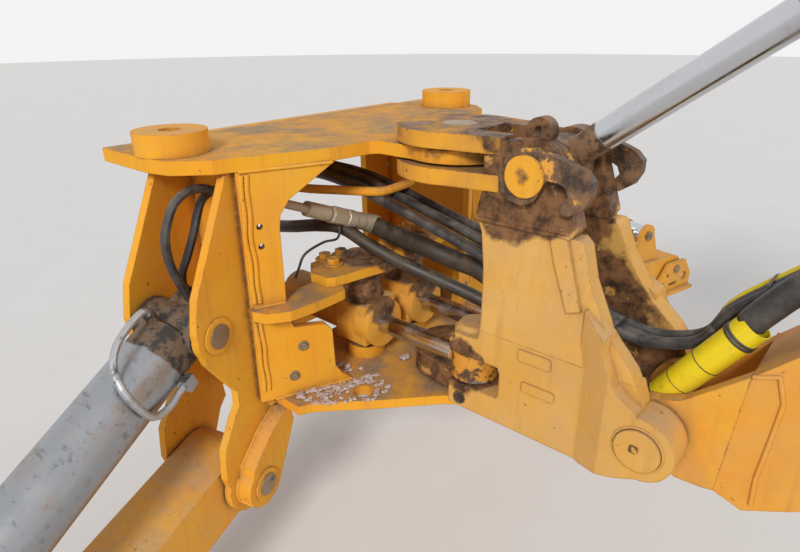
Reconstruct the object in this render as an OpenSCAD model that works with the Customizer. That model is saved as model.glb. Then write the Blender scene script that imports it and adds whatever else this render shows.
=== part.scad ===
// Rear swing assembly of a backhoe loader: the welded rear frame with its two stabilisers,
// the swing post with its two swing cylinders, and the boom with its lift cylinder.
// Millimetres. +X is the machine's right, +Y is forward, +Z is up.
// The origin is the centre of the frame's front mounting face.
// Inside the modules the swing axis is at X = 0, Y = 0.

/* [Rear frame] */
// Distance from the mounting face back to the swing axis
swing_setback = 600; // [580:5:660]
// Half width of the top plate over the towers
top_half_w = 565; // [550:5:600]
// Height of the top plate's upper face
top_z = 285; // [275:1:300]
// Thickness of the top plate
top_t = 30; // [25:1:36]
// Height of the bottom plate's upper face
bottom_z = -315; // [-330:1:-314]
// Thickness of the bottom plate
bottom_t = 25; // [20:1:32]
// Radius of the top plate's nose round the swing pin
nose_r = 125; // [110:1:128]
// Radius of the bottom plate's nose round the swing pin
low_nose_r = 150; // [120:1:160]
// Height of the trunnion shelf's upper face
shelf_z = -60; // [-70:1:-50]
// Thickness of the trunnion shelf
shelf_t = 25; // [18:1:28]
// Thickness of the bolted trunnion caps
cap_t = 25; // [18:1:30]
// Radius of the two cab mount pads
pad_r = 78; // [60:1:90]
// Height of the two cab mount pads
pad_h = 48; // [30:1:60]
// Half width of the front mounting plate
chassis_half_w = 440; // [420:5:470]
// Thickness of the front mounting plate
chassis_t = 25; // [20:1:32]
// Radius of the mounting bolt holes
bolt_r = 13; // [9:0.5:16]
// Distance between the two columns of mounting bolts
bolt_span_x = 780; // [740:5:800]
// Height between the outer mounting bolts
bolt_span_z = 480; // [400:5:500]
// Height between the inner mounting bolts
bolt_mid_z = 160; // [120:5:220]
// Thickness of the side rails
rail_t = 20; // [14:1:26]
// Distance from the centre to a side rail's inner face
rail_x = 398; // [380:2:405]

/* [Towers] */
// Angle by which the stabilisers sweep to the rear
splay = 15; // [10:1:16]
// Distance from the centre to a stabiliser's lower pin
leg_pin_x = 496; // [480:2:520]
// Height of the stabiliser's lower pin
leg_pin_z = -513; // [-540:1:-490]
// Distance of the tower's rear face in front of the swing axis, at the lower pin
tower_y = 250; // [245:1:270]
// Distance outward from the lower pin to the upper pin
ram_pin_out = 49; // [40:1:54]
// Height of the upper pin over the lower pin
ram_pin_up = 429; // [415:1:440]
// Thickness of the tower plates
tower_t = 20; // [16:1:25]
// Clear gap between the two tower plates
tower_gap = 172; // [168:1:176]
// Thickness of the doubler round the lower pin
doubler_t = 42; // [20:1:50]
// Radius of the stabiliser pins
tower_pin_r = 28; // [22:1:32]

/* [Swing post] */
// Radius of the fork plates round the swing pin
fork_r = 145; // [135:1:150]
// Thickness of each fork plate
fork_t = 35; // [28:1:40]
// Running gap between the fork and the nose
fork_gap = 6; // [5:1:9]
// Radius of the swing pins
swing_pin_r = 40; // [32:1:48]
// Radius of the lower lug round the swing pin
lug_r = 100; // [90:1:110]
// Thickness of the lower lug
lug_t = 62; // [50:1:63]
// Half width of the post over its side walls
post_half_w = 150; // [144:1:155]
// Thickness of the side walls
wall_t = 45; // [36:1:48]
// Distance of the boom pin behind the swing axis
boom_pin_back = 553; // [540:1:580]
// Height of the boom pin
boom_pin_z = -200; // [-210:1:-190]
// Radius of the boss round the boom pin
boom_boss_r = 67; // [60:1:72]
// Half width over the boom pin's bosses
boom_boss_half_w = 180; // [165:1:185]
// Radius of the boom pin
boom_pin_r = 38; // [30:1:45]
// Distance of the lift cylinder's pin behind the swing axis
lift_pin_back = 249; // [240:1:260]
// Height of the lift cylinder's pin
lift_pin_z = 263; // [255:1:270]
// Radius of the ears round the lift cylinder's pin
ear_r = 70; // [62:1:74]
// Radius of the lift cylinder's pin
lift_pin_r = 32; // [25:1:36]
// Half of the gap between the two ears
ear_gap_half = 58; // [52:1:62]
// Half width over the two ears
ear_half_w = 109; // [106:1:114]
// Thickness of the boom lock hooks
hook_t = 22; // [16:1:28]
// Angle by which the upper walls lean toward each other
wall_lean = 10; // [8:0.5:10.5]
// Height of the fold under which the walls stand upright
wall_fold_z = -90; // [-100:1:-84]

/* [Swing cylinders] */
// Distance from the centre to each swing rod
swing_rod_x = 90; // [88:1:94]
// Height of the swing rods
swing_rod_z = -208; // [-212:1:-204]
// Distance of the trunnions in front of the swing axis
trunnion_y = 235; // [232:1:245]
// Distance of the rod pins behind the swing axis
swing_eye_back = 129; // [122:1:134]
// Radius of the swing rods
swing_rod_r = 25.4; // [20:0.2:27]
// Length of a swing rod from its eye to its inner end
swing_rod_l = 480; // [470:2:484]
// Outer radius of the swing barrels
swing_barrel_r = 59; // [54:1:62]
// Length of a swing barrel in front of its trunnion
swing_barrel_l = 285; // [260:5:300]
// Radius of the rod eyes
swing_eye_r = 56; // [50:1:58]
// Height of the rod eyes
swing_eye_h = 68; // [60:1:69]
// Radius of the trunnion journals
trunnion_r = 30; // [25:1:34]

/* [Boom] */
// Angle of the boom's chord over the horizontal, as it stands
boom_rest = 44; // [36:1:50]
// Length of the boom from its foot pin to its nose pin
boom_l = 2650; // [2500:10:2800]
// Half width of the boom box
boom_half_w = 98; // [90:1:99]
// Thickness of the boom's plates
boom_t = 12; // [8:1:16]
// Radius of the boom's foot boss
boom_foot_r = 68; // [62:1:72]
// Half of the gap between the two arms of the boom's foot
foot_gap_half = 70; // [68:1:76]
// Radius of the boom's nose boss
boom_nose_r = 85; // [78:1:95]
// Radius of the bore in the boom's nose
nose_bore_r = 35; // [28:1:40]
// Distance along the chord from the nose pin back to the lift cylinder's boom pin
lift_lug_back = 909; // [880:5:940]
// Distance of the lift cylinder's boom pin over the chord
lift_lug_v = 341; // [330:1:350]

/* [Lift cylinder] */
// Radius of the lift rod
lift_rod_r = 31; // [26:0.5:34]
// Outer radius of the lift barrel
lift_barrel_r = 70; // [66:1:74]
// Radius of the lift barrel's eye
lift_eye_r = 66; // [62:1:68]
// Radius of the lift rod's eye
rod_eye_r = 60; // [52:1:60]
// Width of the lift cylinder's eyes
lift_eye_w = 92; // [80:1:100]

/* [Stabilisers] */
// Angle of the left leg under the horizontal, as it stands
left_drop = 12; // [8:1:16]
// Angle of the right leg under the horizontal, as it stands
right_drop = 2; // [0:1:12]
// Length of a leg from its pivot to its foot pin
leg_l = 1260; // [1220:5:1300]
// Depth of a leg at its pivot
leg_root_d = 160; // [140:2:170]
// Depth of a leg at its foot
leg_tip_d = 118; // [100:2:130]
// Thickness of a leg's plates
leg_t = 10; // [6:1:14]
// Distance from the foot pin back to the rod's lug, along the leg
leg_lug_back = 220; // [200:5:240]
// Height of the rod's lug over the leg's centre line
leg_lug_v = 190; // [185:1:200]
// Half of the gap between the two lug plates
lug_gap_half = 47; // [45:0.5:52]
// Thickness of the lug plates
lug_plate_t = 16; // [12:1:20]
// Outer radius of the stabiliser barrels
stab_barrel_r = 71; // [66:1:74]
// Radius of the stabiliser rods
stab_rod_r = 28; // [24:0.5:30]
// Radius of the stabiliser cylinders' eyes
stab_eye_r = 56; // [50:1:60]
// Radius of the stabiliser rods' eyes
stab_rod_eye_r = 42; // [38:1:44]
// Radius of the foot pins and the rods' pins
foot_pin_r = 20; // [16:1:22]
// Length of a foot plate across the leg
foot_w = 252; // [240:4:270]
// Width of a foot plate along the leg
foot_l = 250; // [200:5:280]
// Height of the foot pin over the ground face
foot_h = 120; // [105:1:130]

/* [Hoses] */
// Radius of the large hoses
hose_r = 12; // [10:0.25:12.25]
// Radius of the hoses to the stabilisers
stab_hose_r = 10; // [8:0.5:11]
// Radius of the sleeve over the boom hoses
sleeve_r = 30; // [30:0.5:31]

/* [Hidden] */
$fn = 48;
// Running clearance round every pin
fit = 0.05;
// Gap by which parts of different bodies pass each other
run = 6;
top_under = top_z - top_t;
shelf_under = shelf_z - shelf_t;
cap_top = shelf_z + cap_t;
fork_top = top_z + fork_gap + fork_t;
fork_low = top_under - fork_gap - fork_t;
lug_low = bottom_z + fork_gap;
lug_top = lug_low + lug_t;
wall_in = post_half_w - wall_t;
eye_slot = ear_gap_half - 4;
head_low = 150;
boom_pin = [-boom_pin_back, boom_pin_z];
lift_pin = [-lift_pin_back, lift_pin_z];
lift_lug = [boom_l - lift_lug_back, lift_lug_v];
leg_w = tower_gap - 2 * run;
leg_lug = [leg_l - leg_lug_back, leg_lug_v];
leg_mid = tower_t + tower_gap / 2;
hose_x = [-50.3, -25.7, 2, 30, 56];
sleeve_x = -38;
web_angle = 22.6;
web_x = 432;
web_y = 266;
pad_at = [top_half_w - pad_r + 3, 405];
paint = [0.93, 0.6, 0.1];
dusty = [0.85, 0.58, 0.2];
steel = [0.75, 0.76, 0.78];
worn = [0.62, 0.63, 0.64];
dark = [0.16, 0.15, 0.15];
grease = [0.3, 0.22, 0.16];
lemon = [0.95, 0.88, 0.1];
rubber = [0.08, 0.08, 0.08];

// A point turned about the origin of its plane
function turned(p, a) = [p.x * cos(a) - p.y * sin(a), p.x * sin(a) + p.y * cos(a)];
// Points of a curve with one control point, without its last point
function bow(p, c, q, n) = [for (i = [0 : n - 1]) let (t = i / n)
    p * (1 - t) * (1 - t) + c * 2 * t * (1 - t) + q * t * t];
// Points of a smooth curve through a list of points
function smooth(p, n = 3) = concat([for (i = [0 : len(p) - 2])
    let (a = p[max(i - 1, 0)], b = p[i], c = p[i + 1], d = p[min(i + 2, len(p) - 1)])
    for (k = [0 : n - 1]) let (t = k / n)
        b + (c - a) * t / 2 + (2 * a - 5 * b + 4 * c - d) * t * t / 2
            + (3 * b - a - 3 * c + d) * t * t * t / 2
    ], [p[len(p) - 1]]);

// Moves a shape drawn round the swing axis into the part's frame
module at_swing() {
    translate([0, -swing_setback, 0]) children();
}

// Extrudes an outline drawn in Y and Z between two planes of X
module across(x0, x1) {
    translate([x0, 0, 0]) rotate([90, 0, 90]) linear_extrude(x1 - x0) children();
}

// A round bar along X
module bar_x(r, x0, x1) {
    translate([x0, 0, 0]) rotate([0, 90, 0]) cylinder(r = r, h = x1 - x0);
}

// A round bar along Y
module bar_y(r, y0, y1) {
    translate([0, y1, 0]) rotate([90, 0, 0]) cylinder(r = r, h = y1 - y0);
}

// The same shape on both sides of the machine
module both_sides() {
    children();
    mirror([1, 0, 0]) children();
}

// A tube through a list of points, with one closed mesh
module swept(points, r, sides = 10) {
    n = len(points);
    tangents = [for (i = [0 : n - 1])
        let (a = points[max(i - 1, 0)], b = points[min(i + 1, n - 1)]) (b - a) / norm(b - a)];
    rings = [for (i = [0 : n - 1])
        let (
            t = tangents[i],
            u0 = cross(t, [0.31, 0.17, 0.94]),
            u = u0 / norm(u0),
            v = cross(t, u)
        )
        for (k = [0 : sides - 1]) points[i] + r * (cos(360 * k / sides) * u + sin(360 * k / sides) * v)];
    polyhedron(
        points = rings,
        faces = concat(
            [[for (k = [0 : sides - 1]) k]],
            [[for (k = [sides - 1 : -1 : 0]) (n - 1) * sides + k]],
            [for (i = [0 : n - 2]) for (k = [0 : sides - 1])
                [i * sides + k, (i + 1) * sides + k,
                 (i + 1) * sides + (k + 1) % sides, i * sides + (k + 1) % sides]]
        )
    );
}

// Rear frame

// The other half of an outline that starts and ends on the centre line
function mirrored(half) = [for (i = [len(half) - 2 : -1 : 1]) [-half[i].x, half[i].y]];

// Half outline of the top plate, from the neck of the nose to the front edge
top_outline = [
    [0, 0], [nose_r - 7, 0], [nose_r - 7, post_half_w - run], [nose_r + 12, post_half_w + 8],
    [250, post_half_w + 22], [487, 262], [top_half_w - 15, 325], [top_half_w, 390],
    [top_half_w, swing_setback - chassis_t], [0, swing_setback - chassis_t]
];

module top_plate() {
    color(paint) at_swing() difference() {
        translate([0, 0, top_under]) linear_extrude(top_t) {
            polygon(concat(top_outline, mirrored(top_outline)));
            circle(r = nose_r, $fn = 96);
        }
        translate([0, 0, top_under - 1]) cylinder(r = swing_pin_r + fit, h = top_t + 2);
    }
}

// Half outline of the bottom plate, from its nose to the rails
bottom_outline = [
    [0, 0], [low_nose_r * 0.86, -low_nose_r * 0.5], [250, 37], [320, 107], [370, 155],
    [rail_x, 168], [rail_x, swing_setback - chassis_t], [0, swing_setback - chassis_t]
];

module bottom_plate() {
    color(paint) at_swing() {
        difference() {
            translate([0, 0, bottom_z - bottom_t]) linear_extrude(bottom_t) {
                polygon(concat(bottom_outline, mirrored(bottom_outline)));
                circle(r = low_nose_r, $fn = 96);
            }
            translate([0, 0, bottom_z - bottom_t - 1]) {
                cylinder(r = swing_pin_r + fit, h = bottom_t + 2);
                both_sides() translate([250, 95, 0]) cylinder(r = 24, h = bottom_t + 2);
                translate([-120, 400, 0]) cube([240, 130, bottom_t + 2]);
            }
        }
        // bosses that carry the lower trunnion journals
        both_sides() translate([swing_rod_x, trunnion_y, bottom_z]) difference() {
            cylinder(r = trunnion_r + 22, h = 34);
            translate([0, 0, -1]) cylinder(r = trunnion_r + fit, h = 36);
        }
    }
}

module chassis_plate() {
    color(paint) translate([0, -chassis_t, 0]) difference() {
        translate([-chassis_half_w, 0, bottom_z - bottom_t])
            cube([2 * chassis_half_w, chassis_t, top_z - bottom_z + bottom_t]);
        translate([-280, -1, -230]) cube([560, chassis_t + 2, 400]);
        for (x = [-bolt_span_x / 2, bolt_span_x / 2],
             z = [-bolt_span_z / 2, -bolt_mid_z / 2, bolt_mid_z / 2, bolt_span_z / 2])
            translate([x, 0, z]) bar_y(bolt_r, -1, chassis_t + 1);
    }
}

module rail() {
    color(paint) at_swing() translate([rail_x, 255, bottom_z - bottom_t])
        cube([rail_t, swing_setback - chassis_t - 255, top_under - bottom_z + bottom_t]);
}

module rail_right() { rail(); }
module rail_left() { mirror([1, 0, 0]) rail(); }

// Frame of one tower: X outward from the lower pin, Y forward from the rear face, Z up
module at_tower() {
    at_swing() translate([leg_pin_x, tower_y, leg_pin_z]) rotate([0, 0, -splay]) children();
}

// Outline of a tower plate over its lower pin, outward and up
module tower_outline() {
    difference() {
        union() {
            polygon([
                [-101, top_under - leg_pin_z], [-37, top_under - leg_pin_z], [21, 661], [93, 530],
                [108, 455], [102, 411], [89, 373], [11, 263], [13, 226], [36, 197], [76, 137], [84, 58],
                [54, -44], [-44, -67], [-79, 3], [-115, 80], [-141, 106], [-130, 188], [-101, 293]
            ]);
            circle(r = 80);
            translate([ram_pin_out, ram_pin_up]) circle(r = 58);
        }
        circle(r = tower_pin_r + fit);
        translate([ram_pin_out, ram_pin_up]) circle(r = tower_pin_r + fit);
    }
}

// Web that runs in from the rear plate to the trunnion shelf, with its open window
module web() {
    at_swing() translate([web_x, web_y, 0]) rotate([0, 0, 180 + web_angle])
        rotate([90, 0, 0]) translate([0, 0, -tower_t]) linear_extrude(tower_t) difference() {
            polygon([
                [-6, top_under], [214, top_under], [104, 182], [82, 150], [78, 120], [78, -100],
                [92, -130], [170, -140], [186, -160], [190, -262], [206, -290], [236, bottom_z],
                [-6, bottom_z]
            ]);
            for (h = [[34, 130], [34, 84], [110, -185], [82, -262]])
                translate(h) circle(r = 7);
        }
}

module shelf_cut(grow) {
    at_swing() translate([0, 0, shelf_under]) linear_extrude(shelf_t) offset_free_shelf(grow);
}

// Outline of the right shelf
module offset_free_shelf(grow) {
    polygon([
        [205, 330], [205, 205], [232, 162], [330, 162], [395, 170],
        [440, 200], [452, 235], [430, 300], [rail_x, 330]
    ]);
}

module tower_rear() {
    color(paint) difference() {
        union() {
            at_tower() translate([0, tower_t, 0]) rotate([90, 0, 0]) linear_extrude(tower_t)
                tower_outline();
            web();
            // doubler round the lower pin
            at_tower() rotate([90, 0, 0]) linear_extrude(doubler_t) difference() {
                union() {
                    circle(r = 60);
                    polygon([[-60, -20], [56, -30], [37, 63], [-40, 124], [-118, 162], [-131, 108]]);
                }
                circle(r = tower_pin_r + fit);
            }
        }
        shelf_cut(0);
        rail_space();
        bottom_space();
    }
}

// Space that the side rail fills
module rail_space() {
    at_swing() translate([rail_x - 200, 255, bottom_z - bottom_t])
        cube([200 + rail_t, 400, top_under - bottom_z + bottom_t]);
}

// Space that the bottom plate fills
module bottom_space() {
    at_swing() translate([0, 0, bottom_z - bottom_t]) linear_extrude(bottom_t)
        polygon(bottom_outline);
}

module tower_rear_right() { tower_rear(); }
module tower_rear_left() { mirror([1, 0, 0]) tower_rear(); }

module tower_front() {
    color(paint) difference() {
        at_tower() translate([0, 2 * tower_t + tower_gap, 0]) rotate([90, 0, 0]) {
            linear_extrude(tower_t) tower_outline();
            // part that reaches in to the side rail
            linear_extrude(tower_t) polygon([
                [-165, top_under - leg_pin_z], [-90, top_under - leg_pin_z], [-90, 90],
                [-165, bottom_z - bottom_t - leg_pin_z]
            ]);
        }
        rail_space();
    }
}

module tower_front_right() { tower_front(); }
module tower_front_left() { mirror([1, 0, 0]) tower_front(); }

module shelf() {
    color(dusty) difference() {
        shelf_cut(0);
        rail_space();
    }
}

module shelf_right() { shelf(); }
module shelf_left() { mirror([1, 0, 0]) shelf(); }

module trunnion_caps() {
    color(dusty) at_swing() both_sides() translate([0, 0, shelf_z]) difference() {
        linear_extrude(cap_t) polygon([
            [28, 160], [60, 156], [235, 192], [252, 206], [252, 262], [210, 310], [60, 310], [28, 290]
        ]);
        translate([swing_rod_x, trunnion_y, -1]) cylinder(r = trunnion_r + fit, h = cap_t + 2);
    }
}

module cab_pads() {
    color(paint) at_swing() both_sides() translate([pad_at.x, pad_at.y, top_z]) difference() {
        cylinder(r = pad_r, h = pad_h, $fn = 96);
        translate([0, 0, pad_h - 14]) cylinder(r = 24, h = 15);
    }
}

module tower_pins() {
    color(steel) both_sides() at_tower() for (p = [[0, 0, doubler_t], [ram_pin_out, ram_pin_up, 0]])
        translate([p.x, 0, p.y]) {
            bar_y(tower_pin_r, -p.z - 8, 2 * tower_t + tower_gap + 8);
        }
}

module guide_pipe() {
    color(paint) at_swing() swept(smooth([
        [-178, 440, top_under], [-178, 440, 225], [-178, 440, 195], [-175, 430, 163], [-166, 405, 145],
        [-149, 371, 140], [-112, 305, 140], [-80, 245, 140], [-56, 210, 140], [-30, 198, 140],
        [20, 199, 141], [58, 201, 143], [80, 205, 158], [88, 208, 190], [88, 208, 222],
        [88, 208, top_under]
    ], 2), 12);
}

// Swing cylinders

module swing_barrel() {
    color(dusty) at_swing() translate([swing_rod_x, trunnion_y, 0]) difference() {
        union() {
            translate([0, 0, swing_rod_z]) {
                bar_y(swing_barrel_r, -40, swing_barrel_l);
                bar_y(swing_barrel_r + 8, -72, -20);
                translate([-60, -55, -54]) cube([120, 110, 116]);
            }
            translate([0, 0, swing_rod_z]) cylinder(r = trunnion_r + 16, h = shelf_z - swing_rod_z - 1);
            translate([0, 0, bottom_z]) cylinder(r = trunnion_r, h = cap_top - bottom_z - 3);
        }
        translate([0, 0, swing_rod_z]) bar_y(swing_rod_r + fit, -73, swing_barrel_l - 30);
    }
}

module swing_barrel_right() { swing_barrel(); }
module swing_barrel_left() { mirror([1, 0, 0]) swing_barrel(); }

module swing_rod() {
    at_swing() translate([swing_rod_x, 0, swing_rod_z]) {
        color(steel) bar_y(swing_rod_r, -swing_eye_back + 30, swing_rod_l - swing_eye_back);
        color(grease) translate([0, -swing_eye_back, -swing_eye_h / 2])
            cylinder(r = swing_eye_r, h = swing_eye_h);
    }
}

module swing_rod_right() { swing_rod(); }
module swing_rod_left() { mirror([1, 0, 0]) swing_rod(); }

// Swing post

// Outline of one side wall under its fold, back and up
module wall_low() {
    difference() {
        polygon([
            [-177, wall_fold_z], [-172, -112], [-130, -128], [-96, -134], [-96, lug_low], [-478, lug_low],
            [-520, -290], boom_pin, [-540, -128], [-525, wall_fold_z]
        ]);
        // open band in which the rod eyes turn
        polygon([
            [-90, lug_top], [-226, lug_top], [-232, -235], [-232, -180], [-226, -166], [-90, -166]
        ]);
        translate(boom_pin) circle(r = boom_pin_r + fit);
    }
}

// Outline of one side wall over its fold, measured along its slope
module wall_high() {
    polygon([
        [-120, 170], [-144, 128], [-162, 46], [-172, -44], [-176, wall_fold_z], [-174, wall_fold_z - 4],
        [-520, wall_fold_z - 4], [-524, wall_fold_z], [-510, -68], [-447, -5], [-398, 82], [-375, 148],
        [-350, 170]
    ]);
}

// Tilts a wall drawn upright about the fold, 1 mm inside the lower wall's face
module leaning() {
    translate([post_half_w - 1, 0, wall_fold_z]) rotate([0, -wall_lean, 0])
        translate([-post_half_w, 0, -wall_fold_z]) children();
}

// Thickening of a wall toward the boom pin's boss
module flare() {
    intersection() {
        across(wall_in + 1, boom_boss_half_w) polygon([
            [-404, 28], [-458, -12], [-463, -40], [-491, -95], [-540, -128], boom_pin, [-568, -262],
            [-516, -287], [-434, lug_low], [-404, lug_low]
        ]);
        translate([0, 0, lug_low]) linear_extrude(400) polygon([
            [wall_in, -372], [post_half_w - 22, -378], [boom_boss_half_w, -480], [boom_boss_half_w, -650],
            [wall_in, -650]
        ]);
    }
}

// Outline of one ear at the lift cylinder's pin
module ear_outline() {
    difference() {
        union() {
            translate(lift_pin) circle(r = ear_r, $fn = 72);
            polygon([
                [-140, fork_low], [-150, fork_top - 12], [-200, fork_top - 4], lift_pin,
                [-318, 270], [-354, 164], [-347, head_low], [-128, head_low], [-126, 164]
            ]);
        }
        translate(lift_pin) circle(r = lift_pin_r + fit);
    }
}

// Plan of the fork plates, with the slot behind the pin
module fork_plan(slot_y) {
    difference() {
        union() {
            circle(r = fork_r, $fn = 96);
            polygon([[-fork_r, 0], [fork_r, 0], [ear_half_w, -178], [-ear_half_w, -178]]);
        }
        translate([-eye_slot, -200]) square([2 * eye_slot, 200 + slot_y]);
        circle(r = swing_pin_r + fit);
    }
}

// Plan of the lower lug
module lug_plan() {
    difference() {
        union() {
            circle(r = lug_r, $fn = 96);
            polygon([
                [-lug_r, 0], [lug_r, 0], [wall_in + 2, -96], [post_half_w, -96], [post_half_w, -235],
                [-post_half_w, -235], [-post_half_w, -96], [-wall_in - 2, -96]
            ]);
        }
        circle(r = swing_pin_r + fit);
    }
}

// Walls, lower lug and boom bosses of the post, up to the ears
module swing_post() {
    color(dusty) at_swing() {
        translate([0, 0, lug_low]) linear_extrude(lug_t) lug_plan();
        // floor between the walls
        translate([-wall_in - 1, -430, lug_low]) cube([2 * wall_in + 2, 200, 30]);
        both_sides() {
            across(wall_in, post_half_w) wall_low();
            intersection() {
                leaning() {
                    across(wall_in, post_half_w) wall_high();
                    // rib along the rear edge
                    across(post_half_w - 1, post_half_w + 10) polygon([
                        [-291, 170], [-307, 144], [-322, 102], [-347, 51], [-366, 9], [-395, 20],
                        [-366, 92], [-348, 139], [-334, 170]
                    ]);
                }
                translate([0, -700, wall_fold_z - 20]) cube([300, 700, head_low - wall_fold_z + 20]);
            }
            difference() {
                union() {
                    flare();
                    across(wall_in, boom_boss_half_w) translate(boom_pin) circle(r = boom_boss_r, $fn = 72);
                }
                translate([0, boom_pin.x, boom_pin.y]) bar_x(boom_pin_r + fit, 0, 2 * post_half_w);
            }
            // upper lugs over the rod eyes
            translate([swing_rod_x, -swing_eye_back, -166]) {
                cylinder(r = 50, h = 44);
                translate([0, 0, 44]) cylinder(r1 = 50, r2 = 38, h = 16);
                translate([0, -71, 0]) cube([post_half_w - swing_rod_x, 90, 50]);
            }
        }
    }
}

// Fork plates over and under the top plate's nose
module fork_plates() {
    translate([0, 0, top_z + fork_gap]) linear_extrude(fork_t) fork_plan(-84);
    translate([0, 0, fork_low]) linear_extrude(fork_t) fork_plan(-130);
}

module post_fork() {
    color(dusty) at_swing() fork_plates();
}

// Webs between the fork plates, and the ears
module post_head() {
    color(dusty) at_swing() {
        difference() {
            both_sides() {
                // webs behind the nose, apart for the lift cylinder's eye
                translate([eye_slot, -178, fork_low]) cube([ear_half_w - eye_slot, 38, fork_top - fork_low]);
                across(ear_gap_half, ear_half_w) ear_outline();
            }
            fork_plates();
        }
        // lug with an eye on top of the left ear
        difference() {
            across(-ear_half_w + 19, -ear_gap_half - 2)
                translate([-lift_pin_back, lift_pin_z + 79]) circle(r = 28);
            translate([0, -lift_pin_back, lift_pin_z + 79]) bar_x(11, -ear_half_w, -ear_gap_half);
        }
    }
}

module swing_pins() {
    color(steel) at_swing() {
        translate([0, 0, fork_low - 4]) cylinder(r = swing_pin_r, h = fork_top - fork_low + 4);
        translate([0, 0, bottom_z - bottom_t - 8])
            cylinder(r = swing_pin_r, h = lug_top - bottom_z + bottom_t + 6);
        translate([0, 0, bottom_z - bottom_t - 20]) cylinder(r = swing_pin_r + 22, h = 14);
    }
}

module boom_pins() {
    color(steel) at_swing() both_sides() translate([0, boom_pin.x, boom_pin.y]) {
        bar_x(boom_pin_r, foot_gap_half - 1.5, boom_boss_half_w);
        bar_x(boom_pin_r + 6, boom_boss_half_w, boom_boss_half_w + 7);
    }
}

module lift_pin_stubs() {
    color(grease) at_swing() both_sides() translate([0, lift_pin.x, lift_pin.y]) {
        bar_x(lift_pin_r, ear_gap_half - 2, ear_half_w + hook_t);
        bar_x(lift_pin_r + 10, ear_half_w + hook_t, ear_half_w + hook_t + 7);
    }
}

// Outline of a boom lock hook round the lift cylinder's pin
module hook_outline() {
    difference() {
        polygon([
            [60, -11], [46, 31], [20, 51], [-12, 55], [-54, 46], [-95, 35], [-120, 25], [-137, 8],
            [-137, -18], [-124, -44], [-96, -63], [-78, -60], [-79, -42], [-92, -26], [-85, -10],
            [-70, -3], [-46, -2], [-35, -21], [-21, -48], [5, -60], [34, -53], [53, -36]
        ]);
        circle(r = lift_pin_r + fit);
    }
}

module lock_hooks() {
    color(grease) at_swing() both_sides() across(ear_half_w, ear_half_w + hook_t)
        translate(lift_pin) hook_outline();
}

// Boom, drawn back along its chord from the foot pin and up from it

module at_boom() {
    at_swing() translate([0, boom_pin.x, boom_pin.y]) rotate([-boom_rest, 0, 0]) mirror([0, 1, 0])
        children();
}

// A point of the boom, moved along as the boom gets longer
function drawn_out(p) = p.x < 400 ? p : [400 + (p.x - 400) * (boom_l - 400) / 2250, p.y];

boom_top = [for (p = concat(
    [[203, 12], [223, 30]], bow([307, 34], [700, 40], [1150, 205], 8),
    bow([1150, 205], [1560, 330], [2000, 215], 8),
    bow([2000, 215], [2350, 130], [2590, 76], 5), [[2590, 76]])) drawn_out(p)];
boom_under = [for (p = concat(
    [[33, -143]], bow([58, -191], [330, -275], [760, -190], 7),
    bow([760, -190], [1350, -60], [1900, -85], 7),
    bow([1900, -85], [2300, -95], [2594, -80], 5), [[2594, -80]])) drawn_out(p)];

function shifted(points, d) = [for (p = points) p + [0, d]];
function backward(points) = [for (i = [len(points) - 1 : -1 : 0]) points[i]];

// Closed plates of the boom's box
module box_shell() {
    difference() {
        across(-boom_half_w, boom_half_w) polygon(concat(boom_top, backward(boom_under)));
        across(-boom_half_w + boom_t, boom_half_w - boom_t)
            polygon(concat(shifted(boom_top, -boom_t), backward(shifted(boom_under, boom_t))));
    }
}

module boom_box() {
    color(paint) at_boom() box_shell();
}

module boom_foot() {
    color(dusty) at_boom() difference() {
        union() {
            both_sides() bar_x(boom_foot_r, foot_gap_half, boom_half_w);
            both_sides() across(foot_gap_half, boom_half_w) polygon([
                [-30, 58], [40, 52], [90, 33], [223, 30], [262, 14], [240, -30], [120, -140], [80, -186],
                [58, -191], [33, -143], [15, -132], [-20, -102], [-62, -28]
            ]);
            // plate between the arms, inside the box
            across(-foot_gap_half - 1, foot_gap_half + 1)
                polygon([[226, 16], [244, 4], [84, -160], [66, -148]]);
        }
        bar_x(boom_pin_r + fit, -boom_half_w - 1, boom_half_w + 1);
        box_shell();
    }
}

module boom_nose() {
    color(paint) at_boom() difference() {
        translate([0, boom_l, 0]) bar_x(boom_nose_r, -boom_half_w, boom_half_w);
        translate([0, boom_l, 0]) bar_x(nose_bore_r, -boom_half_w - 1, boom_half_w + 1);
        box_shell();
    }
}

module boom_lugs() {
    color(paint) at_boom() both_sides() across(lift_eye_w / 2 + 4, lift_eye_w / 2 + 24) difference() {
        union() {
            translate(lift_lug) circle(r = 62);
            polygon([
                lift_lug + [-50, -30], lift_lug + [58, 0], lift_lug + [139, -131], lift_lug + [-51, -131]
            ]);
        }
        translate(lift_lug) circle(r = lift_pin_r + fit);
        polygon(concat(boom_top, backward(boom_under)));
    }
}

module lift_barrel_pin() {
    color(steel) at_boom() translate([0, lift_lug.x, lift_lug.y])
        bar_x(lift_pin_r, -lift_eye_w / 2 - 30, lift_eye_w / 2 + 30);
}

// Lines of the hoses along the boom: the pair in the sleeve, and the three over the pin
hose_block_u = 600;
low_line = [
    [15, 50], [100, 69], [180, 86.8], [257, 104], [340, 119], [430, 124], [520, 124],
    [hose_block_u - 0.3, 124]
];
high_line = [
    [177.3, 110.1], [190, 115.5], [207, 121], [230, 124.5], [262, 126], [350, 125], [430, 124],
    [hose_block_u - 0.3, 124]
];

module boom_line_hoses() {
    color(rubber) at_boom() for (i = [0 : 4])
        swept([for (p = i < 2 ? low_line : high_line) [hose_x[i], p.x, p.y]], hose_r, 10);
}

module hose_sleeve() {
    color(lemon) at_boom() translate([sleeve_x, 15, 40]) rotate([12.58, 0, 0]) difference() {
        bar_y(sleeve_r, 0, 248);
        bar_y(sleeve_r - 2, -1, 249);
    }
}

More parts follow.
